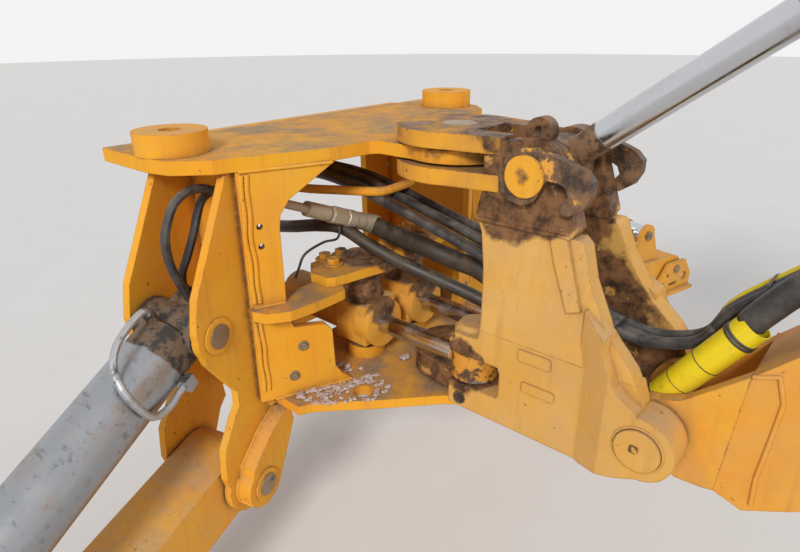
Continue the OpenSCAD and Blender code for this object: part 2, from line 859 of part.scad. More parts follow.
module hose_block() {
    color(steel) at_boom() difference() {
        translate([hose_x[0] - 20, hose_block_u, 60]) cube([hose_x[4] - hose_x[0] + 40, 60, 84]);
        across(-boom_half_w, boom_half_w) polygon(concat(boom_top, backward(boom_under)));
    }
}

// Lift cylinder, drawn from its boom pin toward the post
lift_line = lift_pin - boom_pin;
post_pin_uv = turned([-lift_line.x, lift_line.y], -boom_rest);
lift_run = post_pin_uv - lift_lug;
lift_len = norm(lift_run);
lift_angle = atan2(lift_run.y, lift_run.x);
// Length of the lift cylinder with the boom raised, and what its barrel and rod take of it
lift_shut = lift_len - 401;
lift_barrel_l = lift_shut - rod_eye_r - 24;
lift_rod_l = lift_shut - 73;

module at_lift() {
    at_boom() translate([0, lift_lug.x, lift_lug.y]) rotate([lift_angle, 0, 0]) children();
}

module lift_barrel() {
    color(dusty) at_lift() difference() {
        union() {
            bar_x(lift_eye_r, -lift_eye_w / 2, lift_eye_w / 2);
            translate([-lift_eye_w / 2, 30, -50]) cube([lift_eye_w, 60, 100]);
            bar_y(lift_barrel_r, 74, lift_barrel_l);
            bar_y(lift_barrel_r + 7, lift_barrel_l - 60, lift_barrel_l);
        }
        bar_x(lift_pin_r + fit, -lift_eye_w, lift_eye_w);
        bar_y(lift_rod_r + fit, 68, lift_barrel_l + 1);
    }
}

module lift_rod() {
    color(steel) at_lift() {
        bar_y(lift_rod_r, lift_len - lift_rod_l, lift_len - 40);
        translate([0, lift_len, 0]) bar_x(rod_eye_r, -lift_eye_w / 2, lift_eye_w / 2);
    }
}

// Stabilisers, drawn outward along the leg from its pivot

module at_leg(drop) {
    at_tower() translate([0, leg_mid, 0]) rotate([0, drop, 0]) children();
}

// Extrudes an outline drawn outward and up, centred between the tower plates
module plate_pair(w) {
    translate([0, w / 2, 0]) rotate([90, 0, 0]) linear_extrude(w) children();
}

// Half depth of a leg at a distance from its pivot
function leg_depth(u) = (leg_root_d + (leg_tip_d - leg_root_d) * u / leg_l) / 2;

// Side outline of a leg between two distances from its pivot
module leg_side(u0, u1, inset) {
    polygon([
        [u0, leg_depth(u0) - inset], [u1, leg_depth(u1) - inset],
        [u1, -leg_depth(u1) + inset], [u0, -leg_depth(u0) + inset]
    ]);
}

// Outline of the plates that hold the rod's eye over the leg
module lug_outline() {
    translate(leg_lug) circle(r = 50);
    polygon([
        leg_lug + [-50, 0], leg_lug + [50, 0], [leg_lug.x + 112, leg_depth(leg_lug.x) - leg_t / 2],
        [leg_lug.x - 56, leg_depth(leg_lug.x) - leg_t / 2]
    ]);
}

module leg(drop) {
    color(paint) at_leg(drop) difference() {
        union() {
            plate_pair(leg_w) {
                leg_side(0, leg_l, 0);
                circle(r = leg_root_d / 2);
                translate([leg_l, 0]) circle(r = leg_tip_d / 2);
            }
            for (s = [-1, 1]) translate([0, s * (lug_gap_half + lug_plate_t / 2), 0])
                plate_pair(lug_plate_t) lug_outline();
        }
        plate_pair(leg_w - 2 * leg_t) leg_side(leg_root_d / 2 + leg_t, leg_l - leg_tip_d / 2 - leg_t, leg_t);
        bar_y(tower_pin_r + fit, -leg_w, leg_w);
        translate([leg_l, 0, 0]) bar_y(foot_pin_r + fit, -leg_w, leg_w);
        translate([leg_lug.x, 0, leg_lug.y]) bar_y(foot_pin_r + fit, -leg_w, leg_w);
    }
}

module leg_right() { leg(right_drop); }
module leg_left() { mirror([1, 0, 0]) leg(left_drop); }

// Places a level piece at the foot pin
module at_foot(drop) {
    at_leg(drop) translate([leg_l, 0, 0]) rotate([0, -drop, 0]) children();
}

// Outline of a foot's side plate, with its bore, holes and slot
module foot_outline() {
    difference() {
        polygon([
            [-foot_l / 2, 12 - foot_h], [-foot_l / 2, -46], [-66, 34], [66, 34], [foot_l / 2, -46],
            [foot_l / 2, 12 - foot_h]
        ]);
        circle(r = foot_pin_r + fit);
        translate([72, -52]) circle(r = 22);
        for (h = [[-64, -22], [-96, -60]]) translate(h) circle(r = 9);
        for (x = [-38, 14]) translate([x, -74]) circle(r = 8);
        translate([-38, -82]) square([52, 16]);
    }
}

module foot(drop) {
    color(paint) at_foot(drop) {
        translate([-foot_l / 2, -foot_w / 2, -foot_h]) cube([foot_l, foot_w, 16]);
        for (s = [-1, 1]) translate([0, s * (leg_w / 2 + run + 9), 0]) plate_pair(18) foot_outline();
    }
}

module foot_right() { foot(right_drop); }
module foot_left() { mirror([1, 0, 0]) foot(left_drop); }

module foot_pin(drop) {
    color(steel) at_foot(drop) bar_y(foot_pin_r, -leg_w / 2 - run - 24, leg_w / 2 + run + 24);
}

// Pin ends that hold the rod's eye between the lug plates
module rod_pin(drop) {
    color(steel) at_leg(drop) for (s = [0, 180]) translate([leg_lug.x, 0, leg_lug.y]) rotate([s, 0, 0])
        bar_y(foot_pin_r, lug_gap_half, lug_gap_half + lug_plate_t + 12);
}

module rod_pin_right() { rod_pin(right_drop); }
module rod_pin_left() { mirror([1, 0, 0]) rod_pin(left_drop); }

module foot_pin_right() { foot_pin(right_drop); }
module foot_pin_left() { mirror([1, 0, 0]) foot_pin(left_drop); }

// Place and slope of a stabiliser cylinder at a leg's drop
function lug_at(drop) = turned(leg_lug, -drop);
function ram_run(drop) = lug_at(drop) - [ram_pin_out, ram_pin_up];
function ram_slope(drop) = -atan2(ram_run(drop).y, ram_run(drop).x);

module at_ram(drop) {
    at_tower() translate([ram_pin_out, leg_mid, ram_pin_up]) rotate([0, ram_slope(drop), 0])
        rotate([0, 0, -90]) children();
}

// Length of a stabiliser cylinder with its leg raised, and what its barrel and rod take of it
stab_shut = norm(ram_run(left_drop)) - 406;
stab_barrel_l = stab_shut - stab_rod_eye_r - 39;
stab_rod_l = stab_shut - 62;
// Height of the hoses' port block over the barrel's axis
hose_port_top = 48;

module stab_barrel(drop) {
    color(worn) at_ram(drop) difference() {
        union() {
            bar_x(stab_eye_r, -leg_w / 2, leg_w / 2);
            bar_y(stab_barrel_r, 40, stab_barrel_l);
            // blocks for the two hoses and the pipe
            translate([-32, -78, 6]) cube([64, 62, hose_port_top - 6]);
            translate([44, 86, -64]) cube([40, 26.7, 34]);
            translate([0, 44, 40]) cylinder(r = 13, h = 51.7, $fn = 6);
        }
        bar_x(tower_pin_r + fit, -leg_w, leg_w);
        bar_y(stab_rod_r + fit, 50, stab_barrel_l + 1);
    }
}

module stab_barrel_right() { stab_barrel(right_drop); }
module stab_barrel_left() { mirror([1, 0, 0]) stab_barrel(left_drop); }

module stab_rod(drop) {
    reach = norm(ram_run(drop));
    color(steel) at_ram(drop) {
        bar_y(stab_rod_r, reach - stab_rod_l, reach - 20);
        translate([0, reach, 0]) bar_x(stab_rod_eye_r, -lug_gap_half + 5, lug_gap_half - 5);
    }
}

module stab_rod_right() { stab_rod(right_drop); }
module stab_rod_left() { mirror([1, 0, 0]) stab_rod(left_drop); }

// Steel pipe that loops from the top of the barrel down its rear side
module stab_pipe(drop) {
    color(worn) at_ram(drop) swept(smooth([
        [0, 44, 92], [0, 44, 94], [0, 44, 98], [0, 52, 108], [0, 74, 111], [3, 106, 112],
        [10, 140, 110], [26, 172, 104], [50, 198, 88], [72, 212, 58], [83, 214, 20], [82, 206, -16],
        [80, 182, -36], [76, 152, -45],
        [71, 130, -47], [71, 116, -47], [71, 113, -47]
    ], 2), 8);
}

module stab_pipe_right() { stab_pipe(right_drop); }
module stab_pipe_left() { mirror([1, 0, 0]) stab_pipe(left_drop); }

// Hoses

route_in = [
    [596, 152], [530, 152], [470, 150], [400, 147], [320, 137], [240, 121], [160, 102], [80, 83],
    [0, 64], [-80, 44], [-160, 20], [-240, -12]
];
swing_low = concat(route_in, [[-320, -58], [-390, -104]]);
swing_high = concat(route_in, [[-310, -42], [-370, -58], [-417, -68]]);
boom_low = concat([[-390.3, -104.2], [-430, -130.3]],
    bow([-469.9, -156.6], [-509.8, -182.8], [-524.7, -160.3], 6), [[-524.7, -160.3], [-528.9, -153.9]]);
boom_high = [
    [-417.3, -68.1], [-450, -75], [-485, -77], [-520, -71], [-552, -60], [-577, -44], [-593, -24], [-604, 2]
];

module swing_hoses() {
    color(rubber) at_swing() for (i = [0 : 4])
        swept([for (p = i < 2 ? swing_low : swing_high) [hose_x[i], p.x, p.y]], hose_r, 8);
}

module boom_hoses() {
    color(rubber) at_swing() for (i = [0 : 4])
        swept([for (p = i < 2 ? boom_low : boom_high) [hose_x[i], p.x, p.y]], hose_r, 8);
}

// A point over a stabiliser's barrel: across the tower, along the barrel and over its axis
function over_barrel(drop, n, along, up) =
    let (
        a = ram_slope(drop),
        w = ram_pin_out + along * cos(a) + up * sin(a),
        z = ram_pin_up - along * sin(a) + up * cos(a)
    )
    [leg_pin_x + w * cos(splay) + n * sin(splay), tower_y - w * sin(splay) + n * cos(splay), leg_pin_z + z];

rail_out = rail_x + rail_t + 0.3;
stab_routes = [
    [[rail_out, 332, 192], [424, 332, 192], [430, 332, 192], [446, 332, 200], [472, 332, 213],
     [509, 332, 215], [545, 332, 195], [566, 332, 160], [578, 332, 121], [578, 331, 80], [570, 330, 42]],
    [[rail_out, 358, 196], [424, 358, 196], [430, 358, 196], [450, 358, 192], [468, 358, 178],
     [482, 358, 150], [494, 358, 118], [508, 358, 88], [524, 357, 58], [538, 356, 34]]
];

module stab_hoses(drop) {
    color(rubber) at_swing() for (i = [0, 1]) swept(smooth(concat(
        stab_routes[i],
        [for (up = [hose_port_top + 22, hose_port_top + 10, hose_port_top + 0.4])
            over_barrel(drop, 90 + 24 * i, -46 - 20 * i, up)]
    ), 2), stab_hose_r, 8);
}

module stab_hoses_right() { stab_hoses(right_drop); }
module stab_hoses_left() { mirror([1, 0, 0]) stab_hoses(left_drop); }

top_plate();
bottom_plate();
chassis_plate();
rail_left();
rail_right();
tower_rear_left();
tower_rear_right();
tower_front_left();
tower_front_right();
shelf_left();
shelf_right();
trunnion_caps();
cab_pads();
tower_pins();
guide_pipe();
swing_barrel_left();
swing_barrel_right();
swing_rod_left();
swing_rod_right();
swing_post();
post_fork();
post_head();
swing_pins();
boom_pins();
lift_pin_stubs();
lock_hooks();
boom_foot();
boom_box();
boom_nose();
boom_lugs();
lift_barrel_pin();
hose_sleeve();
boom_line_hoses();
hose_block();
lift_barrel();
lift_rod();
leg_left();
leg_right();
rod_pin_left();
rod_pin_right();
foot_left();
foot_right();
foot_pin_left();
foot_pin_right();
stab_barrel_left();
stab_barrel_right();
stab_rod_left();
stab_rod_right();
stab_pipe_left();
stab_pipe_right();
swing_hoses();
boom_hoses();
stab_hoses_left();
stab_hoses_right();
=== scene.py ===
"""Looks of a backhoe swing frame assembly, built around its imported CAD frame."""

import enum
import logging
import math
import random
from dataclasses import dataclass, field

import bpy
from mathutils import Matrix, Vector


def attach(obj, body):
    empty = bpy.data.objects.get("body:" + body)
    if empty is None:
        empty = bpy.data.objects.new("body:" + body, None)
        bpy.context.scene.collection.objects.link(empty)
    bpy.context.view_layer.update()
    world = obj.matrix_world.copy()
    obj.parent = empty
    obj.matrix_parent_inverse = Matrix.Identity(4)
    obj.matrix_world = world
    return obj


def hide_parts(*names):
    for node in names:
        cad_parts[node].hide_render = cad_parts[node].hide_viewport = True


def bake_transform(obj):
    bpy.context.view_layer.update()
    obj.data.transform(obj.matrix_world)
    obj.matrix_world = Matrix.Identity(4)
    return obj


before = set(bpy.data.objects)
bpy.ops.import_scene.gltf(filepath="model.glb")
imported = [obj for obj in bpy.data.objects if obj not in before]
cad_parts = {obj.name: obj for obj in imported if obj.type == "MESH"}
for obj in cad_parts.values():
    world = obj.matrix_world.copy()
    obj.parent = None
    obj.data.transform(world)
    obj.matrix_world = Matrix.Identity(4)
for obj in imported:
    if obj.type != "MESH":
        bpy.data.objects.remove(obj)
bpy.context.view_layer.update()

LOG = logging.getLogger("swing_frame")

Socket = bpy.types.NodeSocket
Material = bpy.types.Material
Pair = tuple[float, float]
Point = tuple[float, float, float]
Colour = tuple[float, float, float]
# A round patch on a surface: its centre and radius, in metres.
Spot = tuple[float, float, float, float]
# One part of a mesh: its vertices and its faces.
Shell = tuple[list[Vector], list[tuple[int, ...]]]

# The swing axis lies this far behind the mounting face, in metres.
SETBACK = 0.6
UP = Vector((0, 0, 1))

# The boom's angle at rest, and its pin behind and above the swing axis's middle, in millimetres.
BOOM_REST = math.radians(44.0)
BOOM_PIN = (-553.0, -200.0)

# The corner in plan where a web leaves its tower, its angle there and half its thickness.
WEB_CORNER = (432.0, 266.0)
WEB_TURN = math.radians(22.6)
WEB_HALF = 20.0

# Colours that all paint shares where it is dirty or worn, some as a dark and a light end. The first is soot
# and painted shade in corners.
SOOT_AND_SHADE: Colour = (0.16, 0.095, 0.05)
NICK: Colour = (0.14, 0.075, 0.04)
RUSTY_RUN: Colour = (0.33, 0.16, 0.06)
BARE_IRON: tuple[Colour, Colour] = ((0.10, 0.055, 0.03), (0.24, 0.12, 0.06))
CAKED_GREASE: tuple[Colour, Colour] = ((0.055, 0.03, 0.018), (0.25, 0.12, 0.05))


def place(x: float, y: float, z: float) -> Vector:
    """Gives a point of the row frame from millimetres round the swing axis."""
    return Vector((x / 1000, y / 1000 - SETBACK, z / 1000))


def on_boom(x: float, along: float, over: float) -> Vector:
    """Gives a point of the row frame from millimetres along the boom and over its chord.

    Args:
        x: Distance to the right of the boom's middle.
        along: Distance from the boom's pin along its chord.
        over: Distance over the chord.

    Returns:
        The point in the row frame.
    """
    back = along * math.cos(BOOM_REST) - over * math.sin(BOOM_REST)
    rise = along * math.sin(BOOM_REST) + over * math.cos(BOOM_REST)
    return place(x, BOOM_PIN[0] - back, BOOM_PIN[1] + rise)


def on_web(side: "Side", inward: float, z: float, proud: float = 0.0) -> Vector:
    """Gives a point on the rear face of a web, from millimetres inward from the tower.

    Args:
        side: The machine's side.
        inward: Distance from the tower along the web.
        z: Height.
        proud: Distance behind the web's rear face.

    Returns:
        The point in the row frame.
    """
    behind = WEB_HALF + proud
    x = WEB_CORNER[0] - inward * math.cos(WEB_TURN) + behind * math.sin(WEB_TURN)
    y = WEB_CORNER[1] - inward * math.sin(WEB_TURN) - behind * math.cos(WEB_TURN)
    return place(side.value * x, y, z)


def mirrored(*spots: Spot) -> tuple[Spot, ...]:
    """Gives patches together with their mirror images on the machine's other side.

    Args:
        *spots: Centre and radius of each patch.

    Returns:
        Every patch on both sides.
    """
    return spots + tuple((-x, y, z, radius) for x, y, z, radius in spots)


class Side(enum.Enum):
    """The machine's two sides, by the sign of X."""

    LEFT = -1
    RIGHT = 1

    @property
    def word(self) -> str:
        """Gives the side's name as it ends a node's name."""
        return self.name.lower()


class Graph:
    """Adds shader nodes to one material by short calls."""

    def __init__(self, name: str) -> None:
        """Starts an empty material with its output.

        Args:
            name: The material's name.
        """
        self.material = bpy.data.materials.new(name)
        self.material.use_nodes = True
        self.tree = self.material.node_tree
        self.tree.nodes.clear()
        self.output = self.tree.nodes.new("ShaderNodeOutputMaterial")
        self.place = self.add("ShaderNodeTexCoord").outputs["Object"]

    def add(self, kind: str, **values: object) -> bpy.types.Node:
        """Adds one node and fills its settings and sockets.

        Args:
            kind: Blender's name of the node type.
            **values: Settings by attribute name, or sockets by name with spaces as underscores.

        Returns:
            The new node.
        """
        node = self.tree.nodes.new(kind)
        for key, value in values.items():
            if hasattr(node, key):
                setattr(node, key, value)
                continue
            self.feed(node.inputs[key.replace("_", " ")], value)
        return node

    def feed(self, socket: Socket, value: object) -> None:
        """Links a socket to another, or sets its value.

        Args:
            socket: The input to fill.
            value: Another node's output, a number or a colour.
        """
        if isinstance(value, Socket):
            self.tree.links.new(value, socket)
            return
        if isinstance(value, tuple) and len(value) == 3 and socket.type == "RGBA":
            value = (*value, 1.0)
        socket.default_value = value

    def noise(
        self, scale: float, detail: float = 5.0, stretch: Point | None = None, rough: float = 0.6,
    ) -> Socket:
        """Gives a noise value between 0 and 1.

        Args:
            scale: Cycles to the metre.
            detail: How many finer layers it has.
            stretch: Scale along X, Y and Z, if not even.
            rough: Strength of the finer layers.

        Returns:
            The value's socket.
        """
        where = self.place
        if stretch:
            where = self.add("ShaderNodeMapping", Vector=where, Scale=stretch).outputs["Vector"]
        node = self.add("ShaderNodeTexNoise", Vector=where, Scale=scale, Detail=detail, Roughness=rough)
        return node.outputs["Fac"]

    def ramp(
        self, value: Socket, low: float, high: float, to_low: float = 0.0, to_high: float = 1.0,
    ) -> Socket:
        """Maps a value's span smoothly to another span.

        Args:
            value: The value to map.
            low: Value that maps to to_low.
            high: Value that maps to to_high.
            to_low: Result at low.
            to_high: Result at high.

        Returns:
            The mapped value's socket.
        """
        node = self.add("ShaderNodeMapRange", interpolation_type="SMOOTHSTEP")
        for name, number in (("From Min", low), ("From Max", high), ("To Min", to_low), ("To Max", to_high)):
            node.inputs[name].default_value = number
        self.feed(node.inputs["Value"], value)
        return node.outputs["Result"]

    def maths(self, operation: str, a: object, b: object = 0.0) -> Socket:
        """Gives the result of one arithmetic step.

        Args:
            operation: Blender's name of the step, such as MULTIPLY.
            a: First value or socket.
            b: Second value or socket.

        Returns:
            The result's socket.
        """
        node = self.add("ShaderNodeMath", operation=operation, use_clamp=operation != "MULTIPLY_ADD")
        self.feed(node.inputs[0], a)
        self.feed(node.inputs[1], b)
        return node.outputs["Value"]

    def blend(self, factor: object, first: object, second: object) -> Socket:
        """Mixes two colours.

        Args:
            factor: Share of the second colour.
            first: First colour or socket.
            second: Second colour or socket.

        Returns:
            The mixed colour's socket.
        """
        node = self.add("ShaderNodeMix", data_type="RGBA", blend_type="MIX")
        self.feed(node.inputs[0], factor)
        self.feed(node.inputs[6], first)
        self.feed(node.inputs[7], second)
        return node.outputs[2]

    def upward(self) -> Socket:
        """Gives how far the surface faces up in its own rest place, from 0 to 1."""
        normal = self.add("ShaderNodeTexCoord").outputs["Normal"]
        parts = self.add("ShaderNodeSeparateXYZ", Vector=normal)
        return self.ramp(parts.outputs["Z"], 0.35, 0.95)

    def near(self, spots: tuple[Spot, ...], ragged: float) -> Socket | None:
        """Gives a mask round some points of the object.

        Args:
            spots: Centre and radius of each patch, in metres.
            ragged: How far noise pushes the patch's edge.

        Returns:
            The mask's socket, or None without spots.
        """
        mask = None
        wobble = self.noise(14.0, 6.0)
        for x, y, z, radius in spots:
            gap = self.add("ShaderNodeVectorMath", operation="DISTANCE")
            self.feed(gap.inputs[0], self.place)
            gap.inputs[1].default_value = (x, y, z)
            reach = self.add("ShaderNodeMath", operation="MULTIPLY_ADD")
            self.feed(reach.inputs[0], wobble)
            reach.inputs[1].default_value = ragged * 2
            self.feed(reach.inputs[2], gap.outputs["Value"])
            patch = self.ramp(reach.outputs["Value"], radius + ragged * 0.8, radius + ragged * 1.2, 1.0, 0.0)
            mask = patch if mask is None else self.maths("MAXIMUM", mask, patch)
        return mask

    def bump(self, height: Socket, strength: float, depth: float, rounding: float = 0.0) -> Socket:
        """Gives a normal from a height, over edges that look rounded.

        Args:
            height: The height's socket.
            strength: Share of the effect.
            depth: Height in metres.
            rounding: Radius of the rounded look of edges, in metres.

        Returns:
            The normal's socket.
        """
        node = self.add("ShaderNodeBump", Strength=strength, Distance=depth, Height=height)
        if rounding:
            soft = self.add("ShaderNodeBevel", Radius=rounding, samples=4)
            self.feed(node.inputs["Normal"], soft.outputs["Normal"])
        return node.outputs["Normal"]

    def edges(self, radius: float) -> Socket:
        """Gives a mask along convex and concave edges.

        Args:
            radius: Half width of the band, in metres.

        Returns:
            The mask's socket.
        """
        soft = self.add("ShaderNodeBevel", Radius=radius, samples=4).outputs["Normal"]
        true = self.add("ShaderNodeNewGeometry").outputs["Normal"]
        dot = self.add("ShaderNodeVectorMath", operation="DOT_PRODUCT")
        self.feed(dot.inputs[0], soft)
        self.feed(dot.inputs[1], true)
        return self.ramp(dot.outputs["Value"], 0.995, 0.9)

    def finish(self, **values: object) -> Material:
        """Adds the surface shader and gives the finished material.

        Args:
            **values: The shader's sockets by name with spaces as underscores.

        Returns:
            The material.
        """
        shader = self.add("ShaderNodeBsdfPrincipled", **values)
        self.tree.links.new(shader.outputs["BSDF"], self.output.inputs["Surface"])
        return self.material


@dataclass(frozen=True)
class PaintFinish:
    """Machine paint under dust, with chipped edges and patches of old grease."""

    name: str
    colour: Colour = (0.83, 0.34, 0.012)
    pale: Colour = (0.86, 0.41, 0.018)
    dust: Colour = (0.60, 0.38, 0.19)
    dust_share: float = 0.14
    top_dust: float = 0.5
    chip: float = 0.5
    grease: tuple[Spot, ...] = ()
    ragged: float = 0.05
    scraped: float = 0.75
    streak: float = 0.3
    rounding: float = 0.003
    grain: float = 0.0006

    def make(self) -> Material:
        """Builds the paint's material."""
        g = Graph(self.name)
        fine = g.noise(60.0, 5.0)
        dusty = self.dust_cover(g)
        paint = g.blend(g.ramp(g.noise(5.0, 6.0), 0.35, 0.7), self.colour, self.pale)
        paint = g.blend(dusty, paint, g.blend(fine, self.dust, tuple(c * 0.72 for c in self.dust)))
        paint = self.marked(g, paint, fine)
        rough = g.ramp(dusty, 0.0, 0.8, 0.42, 0.85)
        height = g.maths("ADD", g.maths("MULTIPLY", g.noise(420.0, 3.0), 0.5), g.maths("MULTIPLY", fine, 0.5))
        if self.grease:
            paint, rough, height = self.greased(g, paint, height)
        return g.finish(
            Base_Color=paint, Roughness=rough, Specular_IOR_Level=0.22,
            Normal=g.bump(height, 0.5, self.grain, self.rounding),
        )

    def dust_cover(self, g: Graph) -> Socket:
        """Gives how much dust lies on the paint, in clouds and most on top.

        Args:
            g: The material's graph.

        Returns:
            The dust's share.
        """
        dusty = g.maths("ADD", g.maths("MULTIPLY", g.upward(), self.top_dust), self.dust_share)
        return g.maths("MULTIPLY", dusty, g.ramp(g.noise(9.0, 8.0, rough=0.7), 0.3, 0.72, 0.25, 1.25))

    def marked(self, g: Graph, paint: Socket, fine: Socket) -> Socket:
        """Adds soot and painted shade in corners, chipped edges, nicks and rusty runs to the paint.

        Args:
            g: The material's graph.
            paint: The colour so far.
            fine: Fine noise that breaks the marks up.

        Returns:
            The colour with its marks.
        """
        # Occlusion darkens corners and hollows with painted shade, mixed with soot.
        hollow = g.add("ShaderNodeAmbientOcclusion", Distance=0.05, samples=4).outputs["AO"]
        soot_and_shade = g.maths("MULTIPLY", g.ramp(hollow, 0.75, 0.25), g.ramp(fine, 0.3, 0.6, 0.35, 0.8))
        paint = g.blend(soot_and_shade, paint, SOOT_AND_SHADE)
        flakes = g.ramp(g.noise(38.0, 6.0, rough=0.75), 0.5, 0.58, 0.0, self.chip)
        worn = g.maths("MULTIPLY", g.edges(0.004), flakes)
        paint = g.blend(worn, paint, g.blend(fine, *BARE_IRON))
        nicks = g.maths("MULTIPLY", g.ramp(g.noise(55.0, 4.0, rough=0.5), 0.70, 0.735), self.chip)
        paint = g.blend(nicks, paint, NICK)
        runs = g.ramp(g.noise(42.0, 5.0, stretch=(1.0, 1.0, 0.07)), 0.52, 0.78, 0.0, self.streak)
        return g.blend(runs, paint, RUSTY_RUN)

    def greased(self, g: Graph, paint: Socket, height: Socket) -> tuple[Socket, Socket, Socket]:
        """Lays caked grease over the paint, with places where it is scraped off.

        Args:
            g: The material's graph.
            paint: The colour so far.
            height: The surface's height so far.

        Returns:
            The colour, roughness and height with the grease.
        """
        crust = g.noise(26.0, 7.0, rough=0.7)
        dark = g.blend(g.ramp(crust, 0.35, 0.62), *CAKED_GREASE)
        left = g.ramp(g.noise(19.0, 8.0, rough=0.72), 0.60, 0.64, 1.0, 1.0 - self.scraped)
        patch = g.maths("MULTIPLY", g.near(self.grease, self.ragged), left)
        lumps = g.maths("MULTIPLY", patch, crust)
        return g.blend(patch, paint, dark), g.ramp(lumps, 0.2, 0.5, 0.75, 0.45), g.maths("ADD", height, lumps)


@dataclass(frozen=True)
class GreaseFinish:
    """Bare iron under rust, dirt and old grease."""

    name: str = "caked grease"
    dark: Colour = (0.045, 0.028, 0.018)
    rust: Colour = (0.25, 0.13, 0.065)
    paint: Colour = (0.75, 0.36, 0.05)
    paint_share: float = 0.2

    def make(self) -> Material:
        """Builds the greasy iron's material."""
        g = Graph(self.name)
        clot = g.noise(24.0, 8.0, rough=0.7)
        base = g.blend(g.ramp(clot, 0.38, 0.62), self.dark, self.rust)
        low, high = 0.66 - self.paint_share * 0.5, 0.70 - self.paint_share * 0.4
        base = g.blend(g.ramp(g.noise(12.0, 7.0, rough=0.7), low, high), base, self.paint)
        rough = g.ramp(clot, 0.35, 0.65, 0.38, 0.85)
        height = g.maths("ADD", g.maths("MULTIPLY", g.noise(90.0, 6.0), 0.6), g.maths("MULTIPLY", clot, 0.4))
        return g.finish(Base_Color=base, Roughness=rough, Normal=g.bump(height, 0.8, 0.003, 0.003))


@dataclass(frozen=True)
class ChromeFinish:
    """Hard chrome rod with dust, fine scratches and a film of oil."""

    name: str
    tint: Colour = (0.58, 0.59, 0.62)
    film: Colour = (0.40, 0.33, 0.26)
    film_share: float = 0.5
    wear: float = 0.0
    grease: tuple[Spot, ...] = ()
    crust: tuple[Colour, Colour] = ((0.07, 0.04, 0.022), (0.24, 0.125, 0.06))

    def make(self) -> Material:
        """Builds the rod's material."""
        g = Graph(self.name)
        film = g.noise(16.0, 7.0, rough=0.65)
        base = g.blend(g.ramp(film, 0.5, 0.85 - 0.2 * self.wear, 0.0, self.film_share), self.tint, self.film)
        rough = g.ramp(film, 0.3, 0.8, 0.12 + 0.2 * self.wear, 0.42 + 0.3 * self.wear)
        if self.wear:
            scuff = g.noise(55.0, 6.0, stretch=(1.0, 0.25, 1.0), rough=0.7)
            base = g.blend(g.ramp(scuff, 0.55, 0.68, 0.0, self.wear), base, (0.10, 0.09, 0.085))
        metal = g.ramp(film, 0.55, 0.9, 1.0, 0.55)
        patch = g.near(self.grease, 0.015)
        if patch is not None:
            dirt = g.blend(g.ramp(g.noise(30.0, 8.0, rough=0.72), 0.44, 0.54), *self.crust)
            base = g.blend(patch, base, dirt)
            rough = g.maths("MAXIMUM", rough, g.maths("MULTIPLY", patch, 0.65))
            metal = g.maths("MULTIPLY", metal, g.ramp(patch, 0.0, 1.0, 1.0, 0.0))
        scratches = g.bump(g.noise(300.0, 3.0), 0.08, 0.0004)
        return g.finish(Base_Color=base, Metallic=metal, Roughness=rough, Normal=scratches)


@dataclass(frozen=True)
class SteelFinish:
    """Bare or thinly painted steel, scuffed and stained."""

    name: str
    tint: Colour = (0.42, 0.41, 0.39)
    stain: Colour = (0.06, 0.055, 0.05)
    stain_share: float = 0.4
    metal: float = 0.85
    rounding: float = 0.002

    def make(self) -> Material:
        """Builds the steel's material."""
        g = Graph(self.name)
        cloud = g.noise(15.0, 8.0, rough=0.72)
        low = 0.72 - self.stain_share * 0.35
        base = g.blend(g.ramp(cloud, low, low + 0.12), self.tint, self.stain)
        base = g.blend(g.ramp(g.noise(34.0, 6.0), 0.6, 0.75, 0.0, 0.7), base, (0.33, 0.2, 0.12))
        rough = g.ramp(cloud, 0.3, 0.75, 0.28, 0.7)
        metal = g.ramp(cloud, low, low + 0.12, self.metal, self.metal * 0.25)
        return g.finish(
            Base_Color=base, Metallic=metal, Roughness=rough,
            Normal=g.bump(g.noise(120.0, 6.0), 0.35, 0.0012, self.rounding),
        )


@dataclass(frozen=True)
class RubberFinish:
    """Black hose rubber with a wrapped cover under grey dust."""

    name: str = "dusty hose rubber"
    base: Colour = (0.022, 0.022, 0.024)
    dust: Colour = (0.20, 0.165, 0.13)
    dust_share: float = 0.45

    def make(self) -> Material:
        """Builds the rubber's material."""
        g = Graph(self.name)
        lay = g.ramp(g.noise(22.0, 7.0, rough=0.7), 0.35, 0.75, 0.05, 1.0)
        lay = g.maths("MULTIPLY", lay, g.maths("ADD", g.maths("MULTIPLY", g.upward(), 0.7), self.dust_share))
        base = g.blend(lay, self.base, self.dust)
        return g.finish(
            Base_Color=base, Roughness=g.ramp(lay, 0.0, 1.0, 0.45, 0.9),
            Normal=g.bump(g.noise(240.0, 5.0), 0.4, 0.0012),
        )


@dataclass(frozen=True)
class SleeveFinish:
    """Woven lemon yellow sleeve, a little dirty."""

    name: str = "lemon woven sleeve"

    def make(self) -> Material:
        """Builds the sleeve's material."""
        g = Graph(self.name)
        threads = [
            g.add("ShaderNodeTexWave", Vector=g.place, Scale=160.0, Distortion=0.4, bands_direction=way)
            for way in ("X", "Z")
        ]
        weave = g.maths("MULTIPLY", *(thread.outputs["Fac"] for thread in threads))
        dirt = g.ramp(g.noise(30.0, 7.0, rough=0.7), 0.55, 0.8, 0.0, 0.65)
        base = g.blend(dirt, (0.87, 0.66, 0.008), (0.25, 0.17, 0.05))
        return g.finish(Base_Color=base, Roughness=0.5, Normal=g.bump(weave, 0.5, 0.001))


@dataclass(frozen=True)
class StoneFinish:
    """Small crushed stones in pinkish grey."""

    name: str = "crushed stone"

    def make(self) -> Material:
        """Builds the stones' material."""
        g = Graph(self.name)
        tone = g.noise(70.0, 2.0)
        base = g.blend(g.ramp(tone, 0.35, 0.65), (0.42, 0.30, 0.27), (0.62, 0.52, 0.47))
        return g.finish(Base_Color=base, Roughness=0.9, Normal=g.bump(g.noise(500.0, 4.0), 0.5, 0.001))


